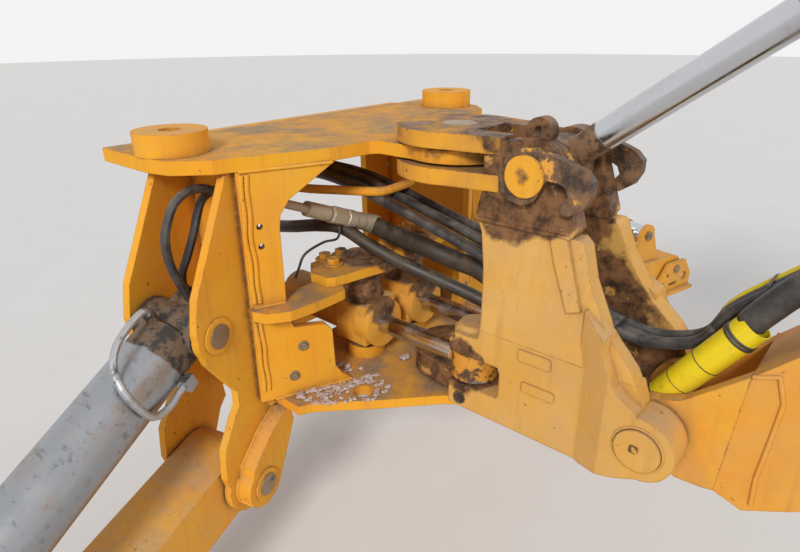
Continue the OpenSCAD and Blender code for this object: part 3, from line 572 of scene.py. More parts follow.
@dataclass
class PhotoCamera:
    """Camera at the photograph's place and angle."""

    place: Point = (-1.149, -1.413, 0.540)
    heading: float = 49.0
    pitch: float = 23.0
    roll: float = 0.5
    lens: float = 27.0
    sensor: float = 36.0

    def build(self) -> None:
        """Makes the camera and gives it to the scene."""
        data = bpy.data.cameras.new("photo_camera")
        data.lens, data.sensor_width, data.sensor_fit = self.lens, self.sensor, "HORIZONTAL"
        data.clip_start, data.clip_end = 0.02, 200.0
        turn, tip, lean = (math.radians(a) for a in (self.heading, self.pitch, self.roll))
        ahead = Vector((math.sin(turn), math.cos(turn), 0))
        right = Vector((math.cos(turn), -math.sin(turn), 0))
        up = Vector((0, 0, 1))
        look = ahead * math.cos(tip) - up * math.sin(tip)
        down = -(ahead * math.sin(tip) + up * math.cos(tip))
        across = right * math.cos(lean) + down * math.sin(lean)
        below = down * math.cos(lean) - right * math.sin(lean)
        camera = bpy.data.objects.new("photo_camera", data)
        turned = Matrix((across, -below, -look)).transposed()
        camera.matrix_world = Matrix.Translation(self.place) @ turned.to_4x4()
        bpy.context.scene.collection.objects.link(camera)
        bpy.context.scene.camera = camera


@dataclass
class Studio:
    """Pale floor and plain soft light."""

    floor_z: float = -0.96
    reach: float = 30.0
    rim_points: int = 48
    key: float = 2.1
    fill_share: float = 0.25
    sky: float = 0.55

    def build(self) -> None:
        """Makes the floor, the lamps and the world."""
        self.make_floor()
        self.make_lamp("key", (58, 0, -62), self.key, 12)
        self.make_lamp("fill", (55, 0, 60), self.key * self.fill_share, 40)
        self.make_world()
        bpy.context.scene.view_settings.view_transform = "Standard"

    def make_world(self) -> None:
        """Makes a soft sky, which the camera and shiny surfaces see as a plain pale backdrop."""
        world = bpy.data.worlds.new("studio")
        world.use_nodes = True
        nodes, link = world.node_tree.nodes, world.node_tree.links.new
        nodes.clear()
        path = nodes.new("ShaderNodeLightPath")
        seen = path.outputs["Is Camera Ray"]
        for ray in ("Is Glossy Ray", "Is Transmission Ray"):
            either = nodes.new("ShaderNodeMath")
            either.operation = "MAXIMUM"
            link(seen, either.inputs[0])
            link(path.outputs[ray], either.inputs[1])
            seen = either.outputs["Value"]
        mix = nodes.new("ShaderNodeMixShader")
        link(seen, mix.inputs[0])
        for index, colour, strength in ((1, (0.93, 0.95, 1.0, 1), self.sky), (2, (0.9, 0.9, 0.9, 1), 1.0)):
            backdrop = nodes.new("ShaderNodeBackground")
            backdrop.inputs["Color"].default_value = colour
            backdrop.inputs["Strength"].default_value = strength
            link(backdrop.outputs[0], mix.inputs[index])
        out = nodes.new("ShaderNodeOutputWorld")
        link(mix.outputs[0], out.inputs["Surface"])
        bpy.context.scene.world = world

    def make_floor(self) -> None:
        """Makes the floor disc below the feet's lowest reach."""
        mesh = bpy.data.meshes.new("studio_floor")
        turns = [2 * math.pi * i / self.rim_points for i in range(self.rim_points)]
        rim = [(self.reach * math.cos(a), self.reach * math.sin(a), 0.0) for a in turns]
        mesh.from_pydata(rim, [], [tuple(range(self.rim_points))])
        floor = bpy.data.objects.new("studio_floor", mesh)
        floor.location = (0, 0, self.floor_z)
        bpy.context.scene.collection.objects.link(floor)
        g = Graph("pale floor")
        tone = g.blend(g.noise(3.0, 6.0), (0.66, 0.64, 0.61), (0.72, 0.70, 0.67))
        grain = g.bump(g.noise(160.0, 6.0), 0.2, 0.003)
        mesh.materials.append(g.finish(Base_Color=tone, Roughness=0.95, Normal=grain))

    def make_lamp(self, name: str, turn: Point, strength: float, spread: float) -> None:
        """Makes one sun lamp.

        Args:
            name: The lamp's name.
            turn: Its rotation in degrees.
            strength: Its strength.
            spread: Its angle in degrees, which softens the shadows.
        """
        data = bpy.data.lights.new(name, "SUN")
        data.energy, data.angle = strength, math.radians(spread)
        lamp = bpy.data.objects.new(name, data)
        lamp.rotation_euler = tuple(math.radians(a) for a in turn)
        bpy.context.scene.collection.objects.link(lamp)


class Maker:
    """Makes mesh pieces and puts them on the frame's bodies."""

    made: list[str] = []

    @classmethod
    def piece(
        cls, name: str, parts: list[Shell], material: Material, body: str, slot: str, smooth: bool = True,
    ) -> bpy.types.Object:
        """Puts mesh parts into the scene as one piece of the object.

        Args:
            name: The piece's name.
            parts: Vertices and faces of each part, in the row frame.
            material: The piece's material.
            body: The body that it rides on, or an empty string to leave it unattached.
            slot: Not used.
            smooth: Whether faces are shaded smooth.

        Returns:
            The new object.
        """
        mesh = cls.joined(name, parts, smooth)
        mesh.materials.append(material)
        thing = bpy.data.objects.new(name, mesh)
        bpy.context.scene.collection.objects.link(thing)
        if body:
            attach(thing, body)
        cls.made.append(name)
        return thing

    @staticmethod
    def joined(name: str, parts: list[Shell], smooth: bool) -> bpy.types.Mesh:
        """Joins vertex and face lists into one mesh.

        Args:
            name: The mesh's name.
            parts: Vertices and faces of each part.
            smooth: Whether faces are shaded smooth.

        Returns:
            The mesh.
        """
        points: list[Vector] = []
        faces: list[tuple[int, ...]] = []
        for some, quads in parts:
            start = len(points)
            points.extend(some)
            faces.extend(tuple(i + start for i in q) for q in quads)
        mesh = bpy.data.meshes.new(name)
        mesh.from_pydata([tuple(p) for p in points], [], faces)
        mesh.update()
        mesh.polygons.foreach_set("use_smooth", [smooth] * len(mesh.polygons))
        return mesh

    @staticmethod
    def smooth_line(points: list[Vector], spacing: float) -> list[Vector]:
        """Gives points on a smooth curve through some points.

        Args:
            points: Points that the curve passes through.
            spacing: Distance between the new points, in metres.

        Returns:
            The curve's points.
        """
        padded = [points[0] * 2 - points[1], *points, points[-1] * 2 - points[-2]]
        line: list[Vector] = []
        for i in range(1, len(padded) - 2):
            a, b, c, d = padded[i - 1 : i + 3]
            steps = max(2, int((c - b).length / spacing))
            for t in (k / steps for k in range(steps)):
                bend = (2 * a - 5 * b + 4 * c - d) * t * t + (3 * b - a - 3 * c + d) * t ** 3
                line.append(0.5 * (2 * b + (c - a) * t + bend))
        line.append(points[-1].copy())
        return line

    @staticmethod
    def ring(centre: Vector, side: Vector, other: Vector, radius: float, sides: int) -> list[Vector]:
        """Gives evenly spaced points on a circle.

        Args:
            centre: The circle's centre.
            side: Unit direction of the first point.
            other: Unit direction a quarter turn on.
            radius: The circle's radius, in metres.
            sides: How many points it has.

        Returns:
            The points.
        """
        turns = [2 * math.pi * k / sides for k in range(sides)]
        return [centre + (side * math.cos(a) + other * math.sin(a)) * radius for a in turns]

    @staticmethod
    def ring_faces(rings: int, sides: int) -> list[tuple[int, ...]]:
        """Gives the faces between rings of points, with a cap on the first and the last.

        Args:
            rings: How many rings there are.
            sides: How many points each ring has.

        Returns:
            The faces.
        """
        faces: list[tuple[int, ...]] = []
        for low in range(0, (rings - 1) * sides, sides):
            for k in range(sides):
                j = (k + 1) % sides
                faces.append((low + k, low + j, low + sides + j, low + sides + k))
        faces.append(tuple(reversed(range(sides))))
        faces.append(tuple((rings - 1) * sides + k for k in range(sides)))
        return faces

    @classmethod
    def tube(cls, line: list[Vector], radius: float | list[float], sides: int = 20) -> Shell:
        """Gives a closed tube along a line.

        Args:
            line: The centre line's points.
            radius: One radius, or one at each point.
            sides: Corners of the tube's section.

        Returns:
            The tube's vertices and faces.
        """
        points: list[Vector] = []
        last = len(line) - 1
        side = None
        for i, centre in enumerate(line):
            along = (line[min(i + 1, last)] - line[max(i - 1, 0)]).normalized()
            if side is None:
                side = along.cross(Vector((0.31, 0.17, 0.94))).normalized()
            side = (side - along * side.dot(along)).normalized()
            reach = radius[i] if isinstance(radius, list) else radius
            points.extend(cls.ring(centre, side, along.cross(side), reach, sides))
        return points, cls.ring_faces(len(line), sides)

    @classmethod
    def turned(cls, at: Vector, axis: Vector, outline: list[Pair], sides: int = 32) -> Shell:
        """Gives a closed form turned round an axis.

        Args:
            at: The axis's start.
            axis: The axis's direction.
            outline: Distance along the axis and radius of each ring, in metres.
            sides: Corners of each ring.

        Returns:
            The form's vertices and faces.
        """
        along = axis.normalized()
        side = along.orthogonal().normalized()
        other = along.cross(side)
        points: list[Vector] = []
        for far, radius in outline:
            points.extend(cls.ring(at + along * far, side, other, radius, sides))
        return points, cls.ring_faces(len(outline), sides)

    @classmethod
    def weld(cls, line: list[Vector], width: float, seed: int) -> Shell:
        """Gives a rippled weld bead along a line.

        Args:
            line: Corner points of the bead.
            width: The bead's radius, in metres.
            seed: Start of its random ripple.

        Returns:
            The bead's vertices and faces.
        """
        dice = random.Random(seed)
        fine = [line[0].copy()]
        for a, b in zip(line, line[1:]):
            steps = max(2, int((b - a).length / 0.0022))
            fine.extend(a.lerp(b, k / steps) for k in range(1, steps + 1))
        ripple = [0.86 + 0.14 * abs(math.sin(i * 1.1)) for i in range(len(fine))]
        radii = [width * (share + dice.uniform(-0.05, 0.05)) for share in ripple]
        radii[0] = radii[-1] = width * 0.4
        return cls.tube(fine, radii, 10)

    @classmethod
    def bolt(cls, at: Vector, axis: Vector, across: float, height: float, turn: float = 0.2) -> Shell:
        """Gives a hexagon bolt head on a washer.

        Args:
            at: Where the washer lies on the surface.
            axis: Direction in which the head stands up.
            across: The head's width between corners, in metres.
            height: The head's height, in metres.
            turn: Angle of the hexagon, in radians.

        Returns:
            The bolt's vertices and faces.
        """
        along = axis.normalized()
        rim = ((0, 0.74), (0.2, 0.76), (0.28, 0.7), (0.28, 0.3))
        points, faces = cls.turned(at, along, [(height * far, across * wide) for far, wide in rim], 28)
        side = Matrix.Rotation(turn, 3, along) @ along.orthogonal().normalized()
        other = along.cross(side)
        head: list[Vector] = []
        for far, wide in ((0.27, 0.5), (0.95, 0.5), (1.06, 0.43), (1.06, 0.30), (1.0, 0.27)):
            head.extend(cls.ring(at + along * height * far, side, other, across * wide, 6))
        start = len(points)
        return points + head, faces + [tuple(i + start for i in q) for q in cls.ring_faces(5, 6)]

    @classmethod
    def pad(cls, at: Vector, along: Vector, up: Vector, size: Point) -> Shell:
        """Gives a raised block with rounded corners and a bevelled rim.

        Args:
            at: Centre of its back on the surface.
            along: Direction of its length.
            up: Direction of its height.
            size: Length, height and thickness, in metres.

        Returns:
            The block's vertices and faces.
        """
        length, height, thickness = size
        out = along.cross(up).normalized()
        corner = min(length, height) * 0.28
        rim: list[Pair] = []
        for x, y, start in ((1, 1, 0), (-1, 1, 90), (-1, -1, 180), (1, -1, 270)):
            for a in (math.radians(start + turn) for turn in (0, 30, 60, 90)):
                rim.append((x * (length / 2 - corner) + corner * math.cos(a),
                            y * (height / 2 - corner) + corner * math.sin(a)))
        points: list[Vector] = []
        for far, share in ((0.0, 1.0), (0.7, 0.985), (1.0, 0.93)):
            points.extend(at + (along * x + up * y) * share + out * thickness * far for x, y in rim)
        return points, cls.ring_faces(3, len(rim))

    @classmethod
    def stone(cls, at: Vector, size: float, height: float, dice: random.Random) -> Shell:
        """Gives one small angular stone that lies on a plate.

        Args:
            at: Its middle on the plate.
            size: Its greatest half width, in metres.
            height: Its height over the plate, in metres.
            dice: Source of its random form.

        Returns:
            The stone's vertices and faces.
        """
        turn = dice.uniform(0, math.pi)
        points: list[Vector] = []
        for far, share in ((0.0, 0.7), (0.45, 1.0), (1.0, 0.55)):
            for a in (turn + math.pi / 3 * k for k in range(6)):
                r = size * share * dice.uniform(0.72, 1.0)
                rise = height * far * dice.uniform(0.85, 1.0)
                points.append(at + Vector((r * math.cos(a), r * 0.8 * math.sin(a), rise)))
        return points, cls.ring_faces(3, 6)

    @staticmethod
    def dress(nodes: list[str], material: Material) -> None:
        """Gives CAD nodes one material.

        Args:
            nodes: The nodes' names.
            material: The material.
        """
        for name in nodes:
            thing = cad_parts[name]
            for index in range(len(thing.material_slots)):
                thing.material_slots[index].material = material
            if not thing.material_slots:
                thing.data.materials.append(material)


@dataclass
class Hoses:
    """The hoses from the machine through the post and up the boom."""

    radius: float = 0.012
    offsets: tuple[float, ...] = (-50.3, -25.7, 2.0, 30.0, 56.0)
    low_count: int = 2
    sway: tuple[float, ...] = (5.0, -7.0, 9.0, -5.0, 3.0)
    rubber: RubberFinish = field(default_factory=RubberFinish)
    muddy: RubberFinish = RubberFinish("muddy hose rubber", (0.03, 0.022, 0.016), (0.13, 0.085, 0.05), 0.55)
    fitting: SteelFinish = SteelFinish("dusty fitting", (0.52, 0.42, 0.29), (0.17, 0.11, 0.065), metal=0.25)
    # Routes of the bundle as Y and Z in millimetres.
    route_in: tuple[Pair, ...] = (
        (596, 152), (530, 152), (470, 150), (400, 147), (320, 137), (240, 121), (160, 102), (80, 83),
        (0, 64), (-80, 44), (-160, 20), (-240, -12),
    )
    swing_low: tuple[Pair, ...] = ((-320, -58), (-390, -104))
    swing_high: tuple[Pair, ...] = ((-310, -42), (-370, -58), (-417, -68))
    boom_low: tuple[Pair, ...] = (
        (-390, -104), (-430, -130.3), (-469.9, -151), (-496, -162), (-514, -160), (-523, -156),
        (-528.9, -150.5),
    )
    boom_high: tuple[Pair, ...] = (
        (-417, -68), (-450, -75), (-485, -77), (-520, -71), (-552, -60), (-577, -44), (-593, -24), (-604, 2),
    )
    # The two muddy hoses, the fitting on the fat one, the thin cable and the block on the post's floor.
    fat_radius: float = 0.024
    fat_route: tuple[Point, ...] = (
        (-22, 262, 34), (-24, 200, 23), (-28, 130, 18), (-29, 60, 11), (-17, -10, -5), (-11, -80, -15),
        (-14, -160, -52), (-22, -230, -105), (-28, -280, -170), (-30, -298, -238),
    )
    thin_radius: float = 0.017
    thin_route: tuple[Point, ...] = (
        (-150, 560, 0), (-148, 450, 20), (-140, 350, 42), (-121, 280, 44), (-101, 200, 9), (-75, 120, -25),
        (-33, 20, -64), (5, -80, -101), (18, -170, -140), (24, -240, -185), (26, -285, -238),
    )
    fitting_start: Point = (-396, 280, 190)
    cable_radius: float = 0.0032
    cable_route: tuple[Point, ...] = (
        (-300, 262, -34), (-292, 256, -8), (-275, 250, 24), (-215, 250, 37), (-165, 252, 34), (-146, 262, 62),
        (-141, 279, 84),
    )
    block_place: Point = (-4, -297, -279)
    block_size: Point = (0.12, 0.06, 0.044)
    # The fat sleeve's axis: its offset, its lower end along and over the boom, and its tilt to the chord.
    sleeve_x: float = -38
    sleeve_foot: Pair = (15, 40)
    sleeve_tilt: float = 12.58
    sleeve_radius: float = 30
    # Each tie round the sleeve: its place, width and thickness, in millimetres.
    sleeve_rings: tuple[Point, ...] = (
        (6, 5, 1.2), (60, 1.5, 0.8), (128, 2.0, 0.9), (206, 5, 2.2), (213, 5, 2.2),
    )
    # The thin sleeve on the far hose and the wrap over two hoses, along and over the boom.
    far_x: float = 57
    far_radius: float = 0.0138
    far_route: tuple[Pair, ...] = (
        (186, 113.4), (207, 121), (230, 124.5), (262, 126), (350, 125), (560, 124),
    )
    wrap_radius: float = 0.0255
    wrap_route: tuple[Pair, ...] = (
        (250, 99), (262, 103.5), (300, 112), (340, 119), (430, 124), (598, 124),
    )
    # Each tie round the hoses: its place along and over the boom, half width, middle and half height.
    ties: tuple[tuple[float, float, float, float, float], ...] = (
        (300, 125.5, 42, 30, 14.5), (470, 124, 75, 0, 27.5), (545, 124, 75, 0, 27.5),
    )
    strands: tuple[float, ...] = (-0.002, 0.0, 0.002)

    def build(self) -> None:
        """Makes the hoses from the frame through the post to the boom, and what is round them."""
        black = self.rubber.make()
        for name, low, high, a, b, start, end in (
            ("swing_hoses", self.route_in + self.swing_low, self.route_in + self.swing_high,
             "rear_frame", "post", place(0, 160, 104), place(0, -160, 20)),
            ("boom_hoses", self.boom_low, self.boom_high, "post", "boom",
             place(0, -390, -104), place(0, -604, 2)),
        ):
            parts = []
            for index, x in enumerate(self.offsets):
                route = low if index < self.low_count else high
                last = len(route) - 1
                lift = [self.sway[index] * math.sin(math.pi * k / last) ** 2 for k in range(last + 1)]
                line = Maker.smooth_line([place(x, y, z + up) for (y, z), up in zip(route, lift)], 0.01)
                parts.append(Maker.tube(line, self.radius))
            thing = Maker.piece(name + "_round", parts, black, "", "hose_rubber")
            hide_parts(name)
            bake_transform(thing)
        Maker.dress(["boom_line_hoses", "stab_hoses_left", "stab_hoses_right"], black)
        self.build_feeds()
        self.build_sleeves(black)
        self.build_ties(black)

    def build_feeds(self) -> None:
        """Makes the two muddy hoses under the bundle, with their cable and block."""
        mud = self.muddy.make()
        parts = []
        for route, radius in ((self.fat_route, self.fat_radius), (self.thin_route, self.thin_radius)):
            parts.append(Maker.tube(Maker.smooth_line([place(*p) for p in route], 0.012), radius, 24))
        feeds = Maker.piece("feed_hoses", parts, mud, "", "hose_rubber")
        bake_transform(feeds)
        iron = self.fitting.make()
        Maker.piece("feed_fitting", self.fitting_parts(), iron, "rear_frame", "bare_steel", False)
        line = Maker.smooth_line([place(*p) for p in self.cable_route], 0.006)
        cable = Maker.tube(line, self.cable_radius, 10)
        Maker.piece("thin_cable", [cable], mud, "rear_frame", "hose_rubber")
        block = Maker.pad(place(*self.block_place), Vector((1, 0, 0)), Vector((0, 1, 0)), self.block_size)
        Maker.piece("feed_block", [block], iron, "post", "bare_steel", False)

    def fitting_parts(self) -> list[Shell]:
        """Gives the fat hose's fitting: a pipe with its collar, a nut and a crimped sleeve."""
        start, end = place(*self.fitting_start), place(*self.fat_route[0])
        along = (end - start).normalized()
        reach = (end - start).length
        pipe = [(0.0, 0.011), (reach - 0.24, 0.011), (reach - 0.24, 0.019), (reach - 0.17, 0.020),
                (reach - 0.168, 0.013), (reach - 0.16, 0.013)]
        nut = [(0.0, 0.021), (0.004, 0.024), (0.05, 0.024), (0.054, 0.021)]
        crimp = [(0.0, 0.017), (0.004, 0.023), (0.03, 0.024), (0.034, 0.022), (0.06, 0.0235),
                 (0.066, 0.022), (0.1, 0.026), (0.118, 0.0265), (0.124, 0.0235)]
        return [
            Maker.turned(start, along, pipe, 28),
            Maker.turned(start + along * (reach - 0.162), along, nut, 6),
            Maker.turned(start + along * (reach - 0.11), along, crimp, 28),
        ]

    def on_sleeve(self, far: float) -> Vector:
        """Gives a point on the fat sleeve's axis, from millimetres past its lower end."""
        tilt = math.radians(self.sleeve_tilt)
        along, over = self.sleeve_foot
        return on_boom(self.sleeve_x, along + far * math.cos(tilt), over + far * math.sin(tilt))

    def build_sleeves(self, black: Material) -> None:
        """Makes the far hose's thin sleeve, the wrap over two hoses and the fat sleeve's ties.

        Args:
            black: The wrap's and ties' material.
        """
        woven = SleeveFinish().make()
        Maker.dress(["hose_sleeve"], woven)
        for name, x, route, radius, sides, material, slot in (
            ("thin_sleeve", self.far_x, self.far_route, self.far_radius, 24, woven, "yellow_sleeve"),
            ("hose_wrap", self.sleeve_x, self.wrap_route, self.wrap_radius, 28, black, "hose_rubber"),
        ):
            line = Maker.smooth_line([on_boom(x, along, over) for along, over in route], 0.012)
            Maker.piece(name, [Maker.tube(line, radius, sides)], material, "boom", slot)
        rings = []
        inner = (self.sleeve_radius - 0.5) / 1000
        for far, wide, thick in self.sleeve_rings:
            axis = self.on_sleeve(far + 1) - self.on_sleeve(far)
            outer = (self.sleeve_radius + thick) / 1000
            outline = [(0.0, inner), (0.0005, outer), (wide / 1000, outer), (wide / 1000 + 0.0005, inner)]
            rings.append(Maker.turned(self.on_sleeve(far), axis, outline, 40))
        Maker.piece("sleeve_ties", rings, black, "boom", "hose_rubber")

    def build_ties(self, black: Material) -> None:
        """Makes the thin ties round the hoses on the boom.

        Args:
            black: The ties' material.
        """
        parts = []
        onward = (on_boom(0, 1000, 0) - on_boom(0, 0, 0)).normalized()
        for along, over, half, middle, tall in self.ties:
            loop = []
            for a in (2 * math.pi * k / 32 for k in range(33)):
                wide, high = math.cos(a), math.sin(a)
                x = middle + half * math.copysign(abs(wide) ** 0.3, wide)
                loop.append(on_boom(x, along, over + tall * math.copysign(abs(high) ** 0.5, high)))
            for shift in self.strands:
                parts.append(Maker.tube([p + onward * shift for p in loop], 0.0014, 8))
        Maker.piece("hose_ties", parts, black, "boom", "hose_rubber")


@dataclass
class RearFrame:
    """The welded rear frame with its towers, shelves and caps."""

    cap_top: float = -35
    floor_z: float = -315
    # A tower's lower pin, its upper pin outward and over it, and the tower's angle in plan.
    lower_pin: Point = (496, 250, -513)
    upper_pin: Pair = (49, 429)
    splay: float = 15.0
    bolts: tuple[Pair, ...] = ((180, 257), (168, 300), (120, 290))
    web_bolts: tuple[Pair, ...] = ((110, -185), (82, -262))
    # Weld beads on a web: the ends as inward distance, height and distance behind, and the radius.
    web_seams: tuple[tuple[Point, Point, float], ...] = (
        ((0, 254, 1), (210, 254, 1), 0.0042),
        ((76, -61, 1), (2, -61, 1), 0.004),
        ((234, -314, 1), (30, -314, 1), 0.004),
    )
    tower_seam: tuple[Pair, ...] = ((37, 63), (-40, 124), (-118, 162))
    # The gravel: how many stones, where they fall, the heap, the plate's edge, its hole, the strip under
    # the web and how far ahead the post sweeps the plate.
    stones: int = 260
    loose_stones: int = 9
    strewn: tuple[Pair, Pair] = ((170, 380), (45, 300))
    loose_strewn: tuple[Pair, Pair] = ((-82, -40), (112, 138))
    heap: Point = (275, 150, 105)
    edge: Point = (255, 45, 0.85)
    hole: Point = (250, 95, 32)
    web_strip: Pair = (-6, 26)
    swept_y: float = 190
    frame_grease: tuple[Spot, ...] = ((0.0, -0.6, 0.27, 0.13), *mirrored((0.09, -0.365, -0.1, 0.06)))
    plate_grease: tuple[Spot, ...] = (
        (0.0, -0.6, 0.285, 0.12), *mirrored((0.09, -0.365, -0.02, 0.07), (0.06, -0.43, -0.02, 0.05)),
    )

    def on_tower(self, side: Side, out: float, behind: float, up: float) -> Vector:
        """Gives a point of a tower's frame.

        Args:
            side: The machine's side.
            out: Distance outward from the lower pin.
            behind: Distance behind the tower's rear face.
            up: Height over the lower pin.

        Returns:
            The point in the row frame.
        """
        a = math.radians(self.splay)
        x = self.lower_pin[0] + out * math.cos(a) - behind * math.sin(a)
        y = self.lower_pin[1] - out * math.sin(a) - behind * math.cos(a)
        return place(side.value * x, y, self.lower_pin[2] + up)

    def build(self) -> None:
        """Dresses the frame's plates and adds its bolts, rings, welds and gravel."""
        paint = PaintFinish("frame paint", chip=0.75, grease=self.frame_grease).make()
        Maker.dress(
            ["chassis_plate", "rail_left", "rail_right", "tower_rear_left", "tower_rear_right",
             "tower_front_left", "tower_front_right", "cab_pads", "guide_pipe"], paint,
        )
        # This paint's dark dust colour is partly dust and partly painted shadow on the top plate; the
        # shelves, caps and bottom plate share it.
        dusty = PaintFinish(
            "shadowed dusty plate paint", dust=(0.34, 0.23, 0.14), dust_share=0.12, top_dust=0.75, ragged=0.035,
            grease=self.plate_grease,
        ).make()
        Maker.dress(["top_plate", "bottom_plate", "shelf_left", "shelf_right", "trunnion_caps"], dusty)
        steel = SteelFinish("pin steel", tint=(0.36, 0.27, 0.18), stain_share=0.5).make()
        Maker.dress(["tower_pins", "swing_pins", "lift_barrel_pin", "rod_pin_left", "rod_pin_right",
                     "foot_pin_left", "foot_pin_right", "hose_block"], steel)
        self.build_bolts(dusty, paint, steel)
        self.build_welds(paint)
        self.build_gravel()
        LOG.info("rear frame dressed")

    def build_bolts(self, dusty: Material, paint: Material, steel: Material) -> None:
        """Makes the cap bolts, the web bolts and the rings round the tower pins.

        Args:
            dusty: The caps' paint, whose dust colour is darkened partly as painted shadow.
            paint: The towers' paint.
            steel: The pins' steel.
        """
        heads, hexes, rings = [], [], []
        outline = [(0.0, 0.041), (0.0035, 0.042), (0.005, 0.040), (0.005, 0.02)]
        for side in Side:
            for x, y in self.bolts:
                heads.append(Maker.bolt(place(side.value * x, y, self.cap_top), UP, 0.034, 0.018))
            back = on_web(side, 0, 0, 10) - on_web(side, 0, 0)
            for inward, z in self.web_bolts:
                hexes.append(Maker.bolt(on_web(side, inward, z), back, 0.018, 0.008, 0.5))
            away = (self.on_tower(side, 0, 10, 0) - self.on_tower(side, 0, 0, 0)).normalized()
            for out, up, proud in ((0, 0, 42), (*self.upper_pin, 0)):
                rings.append(Maker.turned(self.on_tower(side, out, proud, up), away, outline, 40))
        Maker.piece("cap_bolts", heads, dusty, "rear_frame", "dusty_paint", False)
        Maker.piece("web_bolts", hexes, steel, "rear_frame", "bare_steel", False)
        Maker.piece("pin_rings", rings, paint, "rear_frame", "frame_paint", False)

    def build_welds(self, paint: Material) -> None:
        """Makes the weld beads of towers, webs, shelves and top plate.

        Args:
            paint: The frame's paint.
        """
        beads = []
        for side in Side:
            seed = 10 + side.value
            for shift in (3, 15):
                for part, heights in enumerate((range(-286, -90, 6), range(-52, 252, 6))):
                    waves = [(z, 3 * math.sin(z / 23) * math.sin(z / 61)) for z in heights]
                    ridge = [on_web(side, shift + wave, z, -1) for z, wave in waves]
                    beads.append(Maker.weld(ridge, 0.0065, seed + shift + part))
            for number, (start, end, width) in enumerate(self.web_seams):
                seam = [on_web(side, *start), on_web(side, *end)]
                beads.append(Maker.weld(seam, width, seed + 3 + 2 * number))
            turns = [math.radians(d) for d in range(-150, 41, 10)]
            boss = [self.on_tower(side, 60 * math.cos(a), 1, 60 * math.sin(a)) for a in turns]
            beads.append(Maker.weld(boss, 0.0045, seed + 9))
            edge = [self.on_tower(side, x, 1, z) for x, z in self.tower_seam]
            beads.append(Maker.weld(edge, 0.0045, seed + 11))
        Maker.piece("frame_welds", beads, paint, "rear_frame", "frame_paint")

    def bare(self, x: float, y: float) -> bool:
        """Says whether gravel stays off a place on the bottom plate.

        Args:
            x: Distance from the machine's middle.
            y: Distance ahead of the swing axis.

        Returns:
            True past the plate's edge, at its hole, under the web and away from the heap.
        """
        edge_x, edge_y, slope = self.edge
        past_edge = y < edge_y + slope * max(0, x - edge_x)
        in_hole = math.hypot(x - self.hole[0], y - self.hole[1]) < self.hole[2]
        ahead = (x - WEB_CORNER[0]) * math.sin(WEB_TURN) - (y - WEB_CORNER[1]) * math.cos(WEB_TURN)
        under_web = self.web_strip[0] < ahead < self.web_strip[1]
        far_off = math.hypot(x - self.heap[0], (y - self.heap[1]) * 0.7) > self.heap[2]
        return past_edge or in_hole or under_web or far_off

    def build_gravel(self) -> None:
        """Strews gravel on the bottom plate, flat where the post passes over it."""
        dice = random.Random(4)
        grit: list[Shell] = []
        while len(grit) < self.stones:
            x, y = (dice.uniform(*span) for span in self.strewn)
            if self.bare(x, y):
                continue
            swept = y < self.swept_y
            size = dice.uniform(0.004, 0.011) if swept else dice.uniform(0.005, 0.014)
            height = min(size * 0.7, 0.0046) if swept else size * dice.uniform(0.6, 0.9)
            grit.append(Maker.stone(place(-x, y, self.floor_z), size, height, dice))
        for _ in range(self.loose_stones):
            x, y = (dice.uniform(*span) for span in self.loose_strewn)
            grit.append(Maker.stone(place(x, y, self.floor_z), dice.uniform(0.006, 0.011), 0.008, dice))
        Maker.piece("gravel", grit, StoneFinish().make(), "rear_frame", "frame_paint", False)


